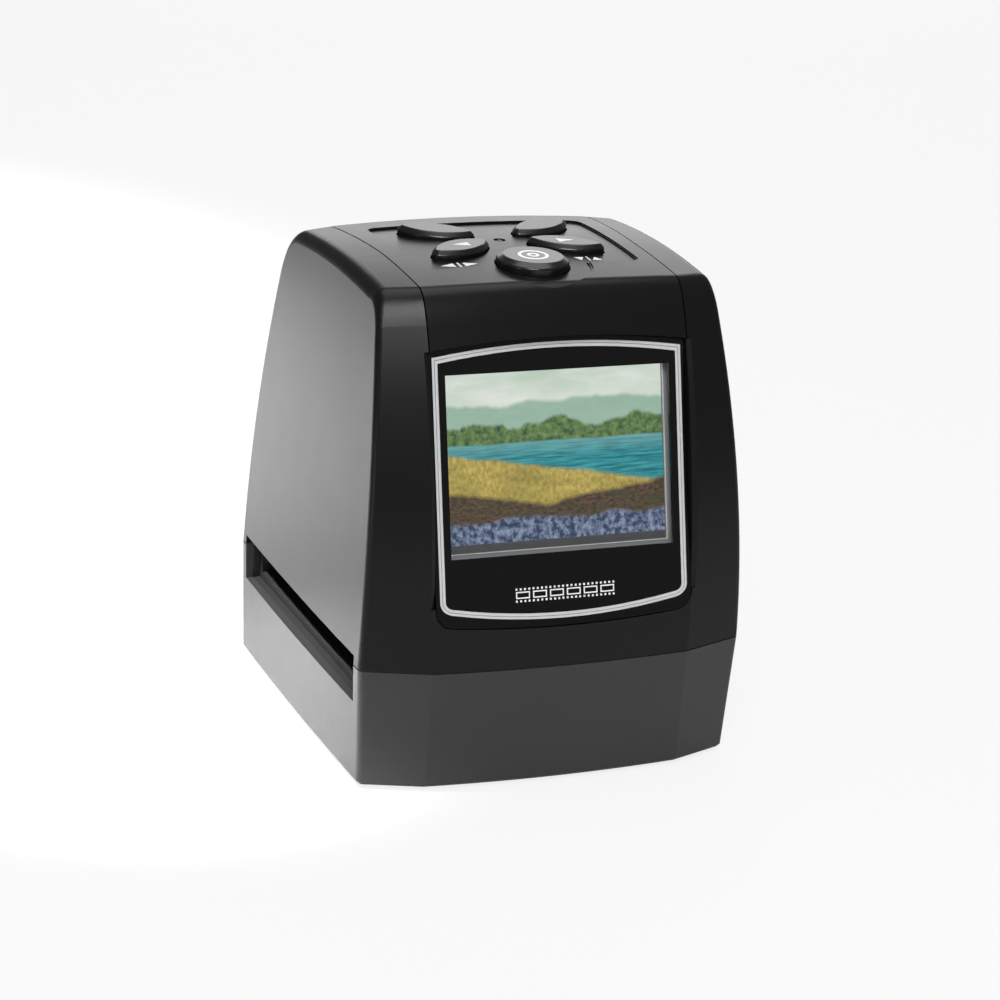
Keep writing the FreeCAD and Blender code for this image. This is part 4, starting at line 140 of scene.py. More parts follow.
class ScannerColours(bpy.types.PropertyGroup):
    housing: FloatVectorProperty(
        name="Housing", description="Upper housing and top cover",
        default=(0.0062, 0.0062, 0.0066), subtype="COLOR",
    )
    base: FloatVectorProperty(
        name="Base", description="Lower shell",
        default=(0.026, 0.026, 0.0265), subtype="COLOR",
    )
    bezel: FloatVectorProperty(
        name="Bezel", description="Screen bezel",
        default=(0.003, 0.003, 0.0034), subtype="COLOR",
    )
    buttons: FloatVectorProperty(
        name="Buttons", description="Button caps",
        default=(0.005, 0.005, 0.0053), subtype="COLOR",
    )
    line: FloatVectorProperty(
        name="Printed line", description="Line round the screen",
        default=(0.62, 0.625, 0.635), subtype="COLOR",
    )
    marks: FloatVectorProperty(
        name="Marks", description="White printed marks",
        default=(0.82, 0.82, 0.82), subtype="COLOR",
    )
    board: FloatVectorProperty(
        name="Board", description="Circuit boards",
        default=(0.018, 0.110, 0.045), subtype="COLOR",
    )


class ScannerStudio(bpy.types.PropertyGroup):
    azimuth: FloatProperty(
        name="Azimuth", description="Camera's turn from the front; negative is to the left",
        default=math.radians(-23.867), subtype="ANGLE",
    )
    elevation: FloatProperty(
        name="Elevation", description="Camera's height angle",
        default=math.radians(19.976), subtype="ANGLE",
    )
    roll: FloatProperty(
        name="Roll", description="Camera's roll",
        default=math.radians(4.371), subtype="ANGLE",
    )
    distance: FloatProperty(
        name="Distance", description="Camera's distance from its aim",
        default=718.44 * MM, unit="LENGTH",
    )
    aim: FloatVectorProperty(
        name="Aim", description="Point that the camera looks at",
        default=(1.28 * MM, 0, 47.5 * MM), subtype="XYZ", unit="LENGTH",
    )
    lens: FloatProperty(name="Lens", description="Focal length in millimetres", default=119.58)
    key_power: FloatProperty(name="Key", description="Power of the front lamp in watts", default=15.0)
    overhead_power: FloatProperty(
        name="Overhead", description="Power of the overhead lamp in watts", default=6.0,
    )
    rear_power: FloatProperty(name="Rear", description="Power of the lamp behind, in watts", default=3.6)
    left_power: FloatProperty(
        name="Left", description="Power of the lamp at the left front in watts", default=0.9,
    )
    far_floor_power: FloatProperty(
        name="Far floor", description="Power of the spot on the floor at the left rear, in watts",
        default=130.0,
    )
    near_floor_power: FloatProperty(
        name="Near floor", description="Power of the spot on the floor beside the left side, in watts",
        default=50.0,
    )
    world_level: FloatProperty(
        name="World", description="Brightness of the room round the set", default=0.16,
    )


def sizes():
    return bpy.context.scene.scanner_sizes


def colours():
    return bpy.context.scene.scanner_colours


def studio():
    return bpy.context.scene.scanner_studio


# Shader maths and nodes.
class Signal:
    """One socket of a material's nodes, with the arithmetic that is written on it."""

    def __init__(self, finish, socket):
        self.finish = finish
        self.socket = socket

    def maths(self, operation, *values):
        node = self.finish.tree.nodes.new("ShaderNodeMath")
        node.operation = operation
        for place, value in enumerate(values):
            self.finish.feed(node.inputs[place], value)
        return Signal(self.finish, node.outputs[0])

    def __add__(self, other):
        return self.maths("ADD", self, other)

    def __radd__(self, other):
        return self.maths("ADD", other, self)

    def __sub__(self, other):
        return self.maths("SUBTRACT", self, other)

    def __rsub__(self, other):
        return self.maths("SUBTRACT", other, self)

    def __mul__(self, other):
        return self.maths("MULTIPLY", self, other)

    def __rmul__(self, other):
        return self.maths("MULTIPLY", other, self)

    def __truediv__(self, other):
        return self.maths("DIVIDE", self, other)

    def __pow__(self, other):
        return self.maths("POWER", self, other)

    def __abs__(self):
        return self.maths("ABSOLUTE", self)

    def __mod__(self, other):
        return self.maths("FLOORED_MODULO", self, other)

    def step(self, edge, softness):
        """0 below the edge and 1 above it, over a soft stretch."""
        ramp = (self - edge) / (2 * softness) + 0.5
        ramp.socket.node.use_clamp = True
        return ramp


class Finish:
    """A material being made of nodes."""

    def __init__(self, name):
        self.material = bpy.data.materials.new(name)
        self.material.use_nodes = True
        self.tree = self.material.node_tree
        self.tree.nodes.clear()
        self.shader = self.tree.nodes.new("ShaderNodeBsdfPrincipled")
        output = self.tree.nodes.new("ShaderNodeOutputMaterial")
        self.tree.links.new(self.shader.outputs["BSDF"], output.inputs["Surface"])

    def feed(self, socket, value):
        """Links a signal to a socket, or sets a plain value on it."""
        if isinstance(value, Signal):
            self.tree.links.new(value.socket, socket)
        elif isinstance(value, (int, float)) and hasattr(socket.default_value, "__len__"):
            socket.default_value = [value] * len(socket.default_value)
        elif hasattr(value, "__len__") and len(value) == 3 and len(socket.default_value) == 4:
            socket.default_value = (*value, 1.0)
        else:
            socket.default_value = value

    def node(self, kind, settings=None, output=0, **inputs):
        """Any other node: its settings, then its sockets by name, or by number after an underscore."""
        node = self.tree.nodes.new(kind)
        for setting, value in (settings or {}).items():
            setattr(node, setting, value)
        for name, value in inputs.items():
            key = int(name[1:]) if name.startswith("_") else name.replace("_", " ")
            self.feed(node.inputs[key], value)
        return Signal(self, node.outputs[output])

    def axes(self, vector):
        """The three coordinates of a vector."""
        split = self.node("ShaderNodeSeparateXYZ", Vector=vector).socket.node
        return [Signal(self, socket) for socket in split.outputs]

    def object_place(self):
        """Places on the piece in millimetres, read from Object coordinates."""
        place = self.node("ShaderNodeTexCoord", output="Object")
        return self.node("ShaderNodeVectorMath", {"operation": "SCALE"}, Vector=place, Scale=1 / MM)

    def noise(self, place, scale, detail=3.0, roughness=0.5):
        """Noise; on places in millimetres its scale is per millimetre."""
        return self.node("ShaderNodeTexNoise", Vector=place, Scale=scale, Detail=detail, Roughness=roughness)

    def stretched(self, place, x, y, z):
        """Places multiplied along each axis, so that a texture on them runs in lines."""
        return self.node("ShaderNodeVectorMath", {"operation": "MULTIPLY"}, _0=place, _1=(x, y, z))

    def blend(self, factor, first, second):
        """A colour between two colours."""
        return self.node(
            "ShaderNodeMix", {"data_type": "RGBA"}, output=2, _0=factor, _6=first, _7=second
        )

    def bump(self, height, depth_mm):
        """A bumped normal; the depth is in millimetres."""
        return self.node("ShaderNodeBump", Height=height, Distance=depth_mm * MM)

    def surface(self, **inputs):
        """Feeds the shader's sockets by name and hands over the finished material."""
        for name, value in inputs.items():
            self.feed(self.shader.inputs[name.replace("_", " ")], value)
        return self.material


def shaded(colour, share):
    """A colour made darker or lighter."""
    return tuple(value * share for value in colour[:3])


# Finishes.
def moulded_plastic(name, colour, roughness, grain_per_mm, grain_depth, gloss=0.5, painted_shade_mask=None):
    """Moulded plastic: fine grain, a slow change of tone and a little haze; in the mask, painted shade makes it
    near black, and it is rougher there.
    """
    variation = 0.08
    finish = Finish(name)
    place = finish.object_place()
    slow = finish.noise(place, scale=0.035, detail=2.0)
    grain = finish.noise(place, scale=grain_per_mm, detail=2.0, roughness=0.6)
    haze = finish.noise(place, scale=0.16, detail=4.0, roughness=0.65)
    body = finish.blend(slow, shaded(colour, 1 - variation), shaded(colour, 1 + variation))
    shine = roughness - 0.03 + 0.06 * haze
    if painted_shade_mask is not None:
        # Painted shade: the mask darkens the colour to 0.15 of itself and raises the roughness.
        painted_shade = painted_shade_mask(finish, place)
        body = finish.blend(painted_shade, body, shaded(colour, 0.15))
        shine = shine + 0.4 * painted_shade
    return finish.surface(
        Base_Color=body,
        Roughness=shine,
        Specular_IOR_Level=gloss,
        Normal=finish.bump(grain, grain_depth),
    )


def slot_mouth(finish, place):
    """Mask of the painted shade on the base's faces inside the film slot's mouth, in millimetres."""
    side_face_x = 41.2
    mouth_middle_y = 4.5
    mouth_half_y = 33.0
    sill_z = 16.0
    x, y, z = finish.axes(place)
    behind_side = 1 - abs(x).step(side_face_x, 0.15)
    along_mouth = 1 - abs(y - mouth_middle_y).step(mouth_half_y, 0.15)
    return behind_side * along_mouth * z.step(sill_z, 0.1)


def gloss_plastic(name, colour, roughness, print_mask=None):
    """Polished plastic: faint long waves of the mould and hair-fine wiping marks."""
    finish = Finish(name)
    place = finish.object_place()
    wave = finish.noise(place, scale=0.05, detail=1.0)
    wiping = finish.noise(finish.stretched(place, 9.0, 0.6, 0.6), scale=1.0, detail=3.0, roughness=0.7)
    speck = finish.noise(place, scale=2.5, detail=2.0, roughness=0.7).step(0.72, 0.03)
    body = finish.blend(speck, colour, shaded(colour, 1.6))
    if print_mask is not None:
        body = finish.blend(print_mask(finish, place), body, colours().marks)
    return finish.surface(
        Base_Color=body,
        Roughness=roughness + 0.05 * wiping + 0.06 * speck,
        Normal=finish.bump(wave, 0.02),
    )


def printed_ink(name, colour, metallic, roughness):
    """Screen-printed ink: flat, slightly uneven in tone, with a soft grain."""
    finish = Finish(name)
    place = finish.object_place()
    cover = finish.noise(place, scale=0.9, detail=3.0, roughness=0.6)
    grain = finish.noise(place, scale=9.0, detail=2.0)
    return finish.surface(
        Base_Color=finish.blend(cover, shaded(colour, 0.93), shaded(colour, 1.05)),
        Metallic=metallic,
        Roughness=roughness + 0.08 * grain,
        Normal=finish.bump(grain, 0.004),
    )


def clear_pane():
    """Clear window pane with a little dust."""
    finish = Finish("clear_pane")
    place = finish.object_place()
    dust = finish.noise(place, scale=1.8, detail=3.0, roughness=0.7).step(0.74, 0.04)
    return finish.surface(
        Base_Color=tone(20, 22, 24)[:3],
        Alpha=0.06 + 0.05 * dust,
        Roughness=0.03 + 0.1 * dust,
    )


def panel_frame():
    """The screen panel's folded metal frame, finely brushed."""
    finish = Finish("panel_frame")
    place = finish.object_place()
    brush = finish.noise(finish.stretched(place, 0.3, 6.0, 6.0), scale=1.0, detail=4.0, roughness=0.6)
    return finish.surface(
        Base_Color=finish.blend(brush, tone(92, 94, 96)[:3], tone(112, 114, 116)[:3]),
        Metallic=0.55,
        Roughness=0.4 + 0.12 * brush,
        Normal=finish.bump(brush, 0.004),
    )


def lit_picture():
    """The lit screen: a made-up view of sky, hills, woods, lake, meadow, bank and flowers, rear to front."""
    finish = Finish("lit_picture")
    uv = finish.node("ShaderNodeTexCoord", output="UV")
    across, up = finish.axes(uv)[:2]

    def ridge(height, swing, bumps, seed):
        rise = finish.node(
            "ShaderNodeTexNoise", {"noise_dimensions": "1D"}, W=across * bumps + seed, Scale=1.0, Detail=4.0
        )
        return height + swing * (rise - 0.5)

    def above(line, softness=0.006):
        return (up - line).step(0, softness)

    def texture(scale_across, scale_up, detail):
        stretched = finish.stretched(uv, scale_across, scale_up, 1.0)
        return finish.noise(stretched, scale=1.0, detail=detail, roughness=0.62)

    cloud = texture(3.0, 7.0, 5.0).step(0.52, 0.14)
    sky = finish.blend(up.step(0.82, 0.16), tone(232, 240, 226), tone(196, 218, 200))
    picture = finish.blend(cloud * 0.75, sky, tone(246, 249, 244))

    far = finish.blend(texture(9.0, 14.0, 4.0), tone(150, 184, 168), tone(176, 205, 184))
    hilltops = ridge(height=0.78, swing=0.16, bumps=2.2, seed=3.0)
    picture = finish.blend(above(hilltops, 0.012), far, picture)

    woods = finish.blend(texture(34.0, 26.0, 5.0).step(0.5, 0.16), tone(52, 84, 58), tone(128, 158, 96))
    treetops = ridge(height=0.66, swing=0.14, bumps=5.0, seed=11.0)
    treetops = treetops + 0.03 * (texture(40.0, 2.0, 3.0) - 0.5)
    picture = finish.blend(above(treetops, 0.01), woods, picture)

    ripple = texture(7.0, 70.0, 3.0)
    lake = finish.blend(ripple.step(0.5, 0.14), tone(22, 112, 124), tone(72, 172, 178))
    lake = finish.blend(up.step(0.52, 0.06) * 0.55, lake, tone(150, 200, 196))
    far_shore = ridge(height=0.555, swing=0.02, bumps=3.0, seed=5.0)
    picture = finish.blend(above(far_shore), lake, picture)

    grass = texture(60.0, 30.0, 4.0)
    meadow = finish.blend(grass.step(0.5, 0.15), tone(168, 146, 66), tone(214, 194, 112))
    meadow = finish.blend(texture(4.0, 9.0, 3.0).step(0.54, 0.12) * 0.5, meadow, tone(112, 116, 58))
    shore = ridge(height=0.40, swing=0.06, bumps=2.6, seed=8.0) + 0.22 * (0.5 - across)
    picture = finish.blend(above(shore, 0.012), meadow, picture)

    bark = texture(44.0, 60.0, 5.0)
    bank = finish.blend(bark.step(0.5, 0.14), tone(54, 42, 38), tone(118, 94, 76))
    bank = finish.blend(texture(6.0, 12.0, 3.0).step(0.52, 0.12) * 0.6, bank, tone(66, 78, 52))
    slope = ridge(height=0.21, swing=0.09, bumps=3.4, seed=21.0) + 0.16 * abs(across - 0.45)
    picture = finish.blend(above(slope, 0.014), bank, picture)

    petals = texture(38.0, 26.0, 4.0)
    bloom = finish.blend(petals.step(0.52, 0.1), tone(52, 68, 98), tone(146, 160, 186))
    front = ridge(height=0.125, swing=0.07, bumps=4.2, seed=33.0)
    picture = finish.blend(above(front, 0.014), bloom, picture)
    return finish.surface(
        Base_Color=(0.004, 0.004, 0.004),
        Roughness=0.35,
        Emission_Color=picture,
        Emission_Strength=0.92,
    )


def board_laminate(colour):
    """Circuit board: green lacquer over copper tracks and tinned pads."""
    finish = Finish("board_laminate")
    place = finish.object_place()
    cell = finish.node("ShaderNodeTexVoronoi", {"feature": "DISTANCE_TO_EDGE"}, Vector=place, Scale=0.45)
    track = 1 - cell.step(0.07, 0.02)
    dots = finish.node("ShaderNodeTexVoronoi", Vector=place, Scale=0.6)
    pad = 1 - dots.step(0.18, 0.03)
    lacquer = finish.blend(track, colour, shaded(colour, 1.9))
    return finish.surface(
        Base_Color=finish.blend(pad, lacquer, (0.5, 0.5, 0.48)),
        Metallic=pad * 0.7,
        Roughness=0.38 - 0.08 * track,
        Normal=finish.bump(track + pad, 0.02),
    )


def plated_metal(name, colour, roughness):
    """Plated metal with fine drawn lines."""
    finish = Finish(name)
    place = finish.object_place()
    drawn = finish.noise(finish.stretched(place, 1.0, 12.0, 1.0), scale=0.9, detail=4.0, roughness=0.65)
    patina = finish.noise(place, scale=0.3, detail=3.0)
    return finish.surface(
        Base_Color=finish.blend(patina, shaded(colour, 0.86), shaded(colour, 1.04)),
        Metallic=1.0,
        Roughness=roughness + 0.14 * drawn,
        Normal=finish.bump(drawn, 0.006),
    )


def soft_rubber():
    """Dark rubber with fine pores and dust."""
    finish = Finish("foot_rubber")
    place = finish.object_place()
    pores = finish.noise(place, scale=5.0, detail=3.0, roughness=0.7)
    dust = finish.noise(place, scale=0.5, detail=3.0).step(0.56, 0.1)
    return finish.surface(
        Base_Color=finish.blend(dust, tone(36, 36, 37)[:3], tone(52, 51, 50)[:3]),
        Roughness=0.78 + 0.15 * pores,
        Normal=finish.bump(pores, 0.03),
    )


def ribbon_film():
    """Ribbon lead: pale film over evenly spaced copper tracks."""
    finish = Finish("ribbon_film")
    place = finish.object_place()
    tracks_per_mm = 1.25
    across = finish.axes(place)[0]
    stripe = abs((across * tracks_per_mm) % 1.0 - 0.5).step(0.26, 0.05)
    worn = finish.noise(place, scale=0.4, detail=3.0)
    film = finish.blend(stripe, tone(206, 198, 176), tone(150, 128, 92))
    return finish.surface(
        Base_Color=finish.blend(worn * 0.3, film, tone(225, 220, 205)),
        Roughness=0.34 + 0.1 * worn,
        Normal=finish.bump(stripe, 0.02),
    )


def coated_lens():
    """Lens glass with a faint violet coating."""
    finish = Finish("coated_lens")
    place = finish.object_place()
    bloom = finish.noise(place, scale=0.3, detail=1.0)
    return finish.surface(
        Base_Color=finish.blend(bloom, tone(58, 62, 96), tone(84, 70, 104)),
        Roughness=0.03 + 0.02 * bloom,
        Alpha=0.55 + 0.05 * bloom,
    )


def opal_plastic():
    """Milky white plastic that spreads the light."""
    finish = Finish("opal_plastic")
    place = finish.object_place()
    cloudy = finish.noise(place, scale=0.12, detail=3.0)
    grain = finish.noise(place, scale=6.0, detail=2.0)
    return finish.surface(
        Base_Color=finish.blend(cloudy, tone(226, 227, 224), tone(238, 238, 235)),
        Roughness=0.5 + 0.1 * grain,
        Normal=finish.bump(grain, 0.01),
    )


def lamp_epoxy():
    """Pale yellow resin of the small white lamps."""
    finish = Finish("lamp_epoxy")
    place = finish.object_place()
    phosphor = finish.noise(place, scale=1.6, detail=2.0)
    return finish.surface(
        Base_Color=finish.blend(phosphor, tone(236, 226, 150), tone(246, 240, 190)),
        Roughness=0.3 + 0.1 * phosphor,
    )


def tinted_lens():
    """Dark green lens of the indicator light, unlit."""
    finish = Finish("tinted_lens")
    place = finish.object_place()
    depth = finish.noise(place, scale=0.8, detail=2.0)
    return finish.surface(
        Base_Color=finish.blend(depth, tone(26, 30, 27), tone(38, 46, 40)),
        Roughness=0.12 + 0.05 * depth,
    )


def apply_finish(material, *names):
    """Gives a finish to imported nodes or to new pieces."""
    for name in names:
        thing = NODES.get(name) or bpy.data.objects[name]
        for place in thing.material_slots:
            place.material = material
        if not thing.material_slots:
            thing.data.materials.append(material)


# Modelling helpers.
def clear_selection():
    if bpy.context.mode != "OBJECT":
        bpy.ops.object.mode_set(mode="OBJECT")
    bpy.ops.object.select_all(action="DESELECT")


def only(thing):
    clear_selection()
    thing.select_set(True)
    bpy.context.view_layer.objects.active = thing


def screen_place():
    """From the bezel's flat face, with the window's top at its origin, to the scanner's frame."""
    turn = Matrix.Rotation(math.pi / 2 - sizes().screen_tilt, 4, "X")
    return Matrix.Translation(Vector(sizes().window_top)) @ turn


def settle(thing, matrix):
    """Puts a piece in its place and moves that place into its mesh."""
    only(thing)
    thing.matrix_world = matrix @ thing.matrix_world
    bpy.ops.object.transform_apply(location=True, rotation=True, scale=True)


def thicken(thing, thickness):
    """Gives a flat print its thickness, outwards from the face it lies on."""
    only(thing)
    solid = thing.modifiers.new("thickness", "SOLIDIFY")
    solid.thickness = thickness
    solid.offset = 1
    bpy.ops.object.modifier_apply(modifier=solid.name)


def flat_outline(name, loops):
    """A flat sheet bounded by closed Bezier loops; each point is (place, handle before, handle after)."""
    curve_steps = 12
    clear_selection()
    bpy.ops.curve.primitive_bezier_circle_add(radius=MM)
    outline = bpy.context.object
    outline.name = name
    outline.data.name = name
    outline.data.dimensions = "2D"
    outline.data.fill_mode = "BOTH"
    outline.data.resolution_u = curve_steps
    outline.data.splines.clear()
    for points in loops:
        spline = outline.data.splines.new("BEZIER")
        spline.bezier_points.add(len(points) - 1)
        spline.use_cyclic_u = True
        for knot, (place, before, after) in zip(spline.bezier_points, points):
            knot.handle_left_type = "FREE"
            knot.handle_right_type = "FREE"
            knot.co = (*place, 0)
            knot.handle_left = (*before, 0)
            knot.handle_right = (*after, 0)
    bpy.ops.object.convert(target="MESH")
    sheet = bpy.context.object
    sheet.name = name
    return sheet


def straight(points):
    """Bezier points of a loop with straight sides."""
    return [(point, point, point) for point in points]


def rectangle(left, low, right, high):
    return straight([(left, low), (right, low), (right, high), (left, high)])


# Printed line round the screen.
def line_loop(inset):
    """The printed line's outline, set inwards: bowed top with sharp corners, bowed bottom with round ones."""
    smallest_radius = 0.2 * MM
    half = sizes().line_half_width - inset
    top = sizes().line_corner_rise - inset
    crown = sizes().line_crown * ARCH_HANDLE
    low = -sizes().line_drop + inset
    radius = max(sizes().line_radius - inset, smallest_radius)
    belly = sizes().line_belly * ARCH_HANDLE
    third = half / 3
    handle = QUARTER_CIRCLE_HANDLE * radius
    lift = 0.1 * radius
    inner = half - radius
    return [
        ((-half, top), (-half, top - radius), (-third, top + crown)),
        ((half, top), (third, top + crown), (half, top - radius)),
        ((half, low + radius), (half, low + 2 * radius), (half, low + radius - handle)),
        ((inner, low), (inner + handle, low + lift), (inner / 3, low - belly)),
        ((-inner, low), (-inner / 3, low - belly), (-inner - handle, low + lift)),
        ((-half, low + radius), (-half, low + radius - handle), (-half, low + 2 * radius)),
    ]


def film_strip():
    """Outlines of a strip of film: a row of framed pictures between two rows of perforations."""
    low, high = -47.4 * MM, -44.5 * MM
    first, last = -11.4 * MM, 11.4 * MM
    pitch = (last - first) / sizes().mark_count
    frame_start, frame_end = 0.09, 0.91
    hole_middles = (0.125, 0.375, 0.625, 0.875)
    rim = 0.26 * MM
    hole = 0.42 * MM
    margin = 0.72 * MM
    loops = []
    for number in range(sizes().mark_count):
        left = first + (number + frame_start) * pitch
        right = first + (number + frame_end) * pitch
        loops.append(rectangle(left, low + margin, right, high - margin))
        loops.append(rectangle(left + rim, low + margin + rim, right - rim, high - margin - rim))
        for share in hole_middles:
            middle = first + (number + share) * pitch
            for edge in (low, high - hole):
                loops.append(rectangle(middle - hole / 2, edge, middle + hole / 2, edge + hole))
    return loops


def print_on_bezel(name, loops):
    """Prints flat outlines on the bezel's face."""
    mark = flat_outline(name, loops)
    thicken(mark, sizes().print_thickness)
    settle(mark, screen_place())
    return mark


class SCANNER_OT_printed_line(bpy.types.Operator):
    """Prints the double silver line round the screen and the film strip under it"""

    bl_idname = "scanner.printed_line"
    bl_label = "Printed line"

    def execute(self, context):
        gap_start, gap_end = 0.43, 0.50
        bands = [line_loop(share * sizes().line_width) for share in (0, gap_start, gap_end, 1)]
        line = print_on_bezel("printed_line", bands)
        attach(line, "scanner")
        silver = printed_ink("silver_ink", colours().line, metallic=0.1, roughness=0.34)
        apply_finish(silver, "printed_line")

        marks = print_on_bezel("frame_marks", film_strip())
        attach(marks, "scanner")
        white = printed_ink("white_ink", colours().marks, metallic=0.0, roughness=0.5)
        apply_finish(white, "frame_marks")
        return {"FINISHED"}


def open_frame(half_width, top, bottom, width):
    """A frame that is open at its top, as one loop of straight sides."""
    inner = half_width - width
    return straight([
        (-half_width, top), (-half_width, bottom), (half_width, bottom), (half_width, top),
        (inner, top), (inner, bottom + width), (-inner, bottom + width), (-inner, top),
    ])


class SCANNER_OT_screen(bpy.types.Operator):
    """Lights the screen and finishes the pane, the panel and what carries them"""

    bl_idname = "scanner.screen"
    bl_label = "Screen"

    def execute(self, context):
        clear_selection()
        bpy.ops.mesh.primitive_plane_add(size=1)
        picture = context.object
        picture.name = "screen_picture"
        middle = sizes().picture_rise - sizes().picture_height / 2
        clearance = 0.02 * MM
        lift = -sizes().panel_depth + clearance
        picture.scale = (sizes().picture_width, sizes().picture_height, 1)
        bpy.ops.object.mode_set(mode="EDIT")
        bpy.ops.mesh.subdivide(number_cuts=7)
        bpy.ops.object.mode_set(mode="OBJECT")
        settle(picture, screen_place() @ Matrix.Translation((0, middle, lift)))
        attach(picture, "scanner")
        apply_finish(lit_picture(), "screen_picture")

        half = sizes().window_width / 2
        top = sizes().picture_rise - 0.2 * MM
        low = sizes().picture_rise - sizes().picture_height
        rim_shape = open_frame(half_width=half + 1.35 * MM, top=top, bottom=low - 3.4 * MM, width=1.6 * MM)
        bead_shape = open_frame(half_width=half - 0.15 * MM, top=top, bottom=low - 1.9 * MM, width=0.18 * MM)
        rim = flat_outline("panel_rim", [rim_shape])
        thicken(rim, thickness=0.2 * MM)
        bead = flat_outline("panel_bead", [bead_shape])
        thicken(bead, thickness=0.45 * MM)
        for piece in (rim, bead):
            settle(piece, screen_place() @ Matrix.Translation((0, 0, lift)))
            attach(piece, "scanner")
        # The rim's grey is partly its own colour and partly painted light: it is made pale to stand in for
        # light that the window's shadow keeps off the panel.
        rim_grey_with_painted_light = printed_ink("rim_grey_with_painted_light", tone(160, 162, 164)[:3], metallic=0.2, roughness=0.4)
        apply_finish(rim_grey_with_painted_light, "panel_rim")
        # Painted highlight: the bead is near white, standing for light caught on the panel frame's folded edge.
        bead_painted_highlight = printed_ink("bead_painted_highlight", tone(236, 237, 238)[:3], metallic=0.2, roughness=0.3)
        apply_finish(bead_painted_highlight, "panel_bead")
        apply_finish(panel_frame(), "screen_panel")
        apply_finish(clear_pane(), "window_pane")
        apply_finish(gloss_plastic("bezel_gloss", colours().bezel, roughness=0.10), "screen_bezel")
        carrier = moulded_plastic(
            "carrier_grey", tone(96, 97, 99), roughness=0.5, grain_per_mm=6.0, grain_depth=0.02,
        )
        apply_finish(carrier, "screen_carrier")
        return {"FINISHED"}


# Buttons and their marks.
def node_top(name):
    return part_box(name)[1][2]


def arrow(middle, reach, half_base, towards):
    """A triangle that points left or right."""
    x, y = middle
    return straight([
        (x + towards * reach, y),
        (x - towards * reach, y + half_base),
        (x - towards * reach, y - half_base),
    ])


def upright_arrow(middle, reach, half_base, towards):
    """A triangle that points up or down."""
    x, y = middle
    return straight([
        (x, y + towards * reach),
        (x - half_base, y - towards * reach),
        (x + half_base, y - towards * reach),
    ])


def target_print(finish, place):
    """Two rings on the scan button's face, in millimetres from the button's middle."""
    outer_radius, outer_half_width = 2.9, 0.34
    inner_radius, inner_half_width = 1.0, 0.30
    face_depth = 0.1
    x, y, z = finish.axes(place)
    low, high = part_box("scan_button")
    centre = (Vector(low) + Vector(high)) / 2
    radius = ((x - centre.x / MM) ** 2 + (y - centre.y / MM) ** 2) ** 0.5
    outer = 1 - abs(radius - outer_radius).step(outer_half_width, 0.03)
    inner = 1 - abs(radius - inner_radius).step(inner_half_width, 0.03)
    return (outer + inner) * z.step(high[2] / MM - face_depth, 0.02)


def label_sign(middle, shape, spread, reach):
    """Two arrows, one on either side of a bar that runs to the rear."""
    x, y = middle
    bar_half_width = 0.2 * MM
    bar_half_length = 1.25 * MM
    half_base = 1.1 * MM
    bar = rectangle(x - bar_half_width, y - bar_half_length, x + bar_half_width, y + bar_half_length)
    arrows = [shape((x + side * spread, y), reach, half_base, side) for side in (-1, 1)]
    return [bar, *arrows]


def lie_on(thing, node):
    """Lays a flat print down onto the node under it."""
    only(thing)
    wrap = thing.modifiers.new("lie_on", "SHRINKWRAP")
    wrap.target = NODES[node]
    wrap.wrap_method = "PROJECT"
    wrap.use_project_z = True
    wrap.use_negative_direction = True
    wrap.use_positive_direction = False
    bpy.ops.object.modifier_apply(modifier=wrap.name)


class SCANNER_OT_buttons(bpy.types.Operator):
    """Finishes the five buttons and prints their marks"""

    bl_idname = "scanner.buttons"
    bl_label = "Buttons"

    def execute(self, context):
        caps = ["scan_button", "mirror_button", "flip_button", "power_button", "mode_button"]
        cap_gloss = gloss_plastic("cap_gloss", colours().buttons, roughness=0.24)
        apply_finish(cap_gloss, *caps[1:])
        scan_gloss = gloss_plastic(
            "scan_cap_gloss", colours().buttons, roughness=0.24, print_mask=target_print,
        )
        apply_finish(scan_gloss, "scan_button")
        plunger_black = moulded_plastic(
            "plunger_black", tone(30, 30, 31), roughness=0.5, grain_per_mm=6.0, grain_depth=0.02,
        )
        apply_finish(plunger_black, *[cap.replace("button", "plunger") for cap in caps])
        white = bpy.data.materials["white_ink"]
        mark_x, mark_y = 12.0 * MM, 0.3 * MM
        for name, towards in (("mirror", -1), ("flip", 1)):
            triangle = arrow((towards * mark_x, mark_y), reach=1.9 * MM, half_base=1.25 * MM, towards=towards)
            mark = flat_outline(name + "_mark", [triangle])
            thicken(mark, sizes().print_thickness)
            settle(mark, Matrix.Translation((0, 0, node_top(name + "_button"))))
            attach(mark, name + "_press")
            apply_finish(white, mark.name)
        mirror_place = (-15.4 * MM, -7.8 * MM)
        flip_place = (13.9 * MM, -7.5 * MM)
        signs = {
            "mirror_label": label_sign(mirror_place, arrow, spread=2.6 * MM, reach=1.5 * MM),
            "flip_label": label_sign(flip_place, upright_arrow, spread=1.8 * MM, reach=1.0 * MM),
        }
        for name, shapes in signs.items():
            label = flat_outline(name, shapes)
            bpy.ops.object.mode_set(mode="EDIT")
            bpy.ops.mesh.select_all(action="SELECT")
            bpy.ops.mesh.subdivide(number_cuts=5)
            bpy.ops.object.mode_set(mode="OBJECT")
            settle(label, Matrix.Translation((0, 0, node_top("top_cover") + MM)))
            lie_on(label, "top_cover")
            thicken(label, sizes().print_thickness)
            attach(label, "scanner")
            apply_finish(white, name)
        return {"FINISHED"}


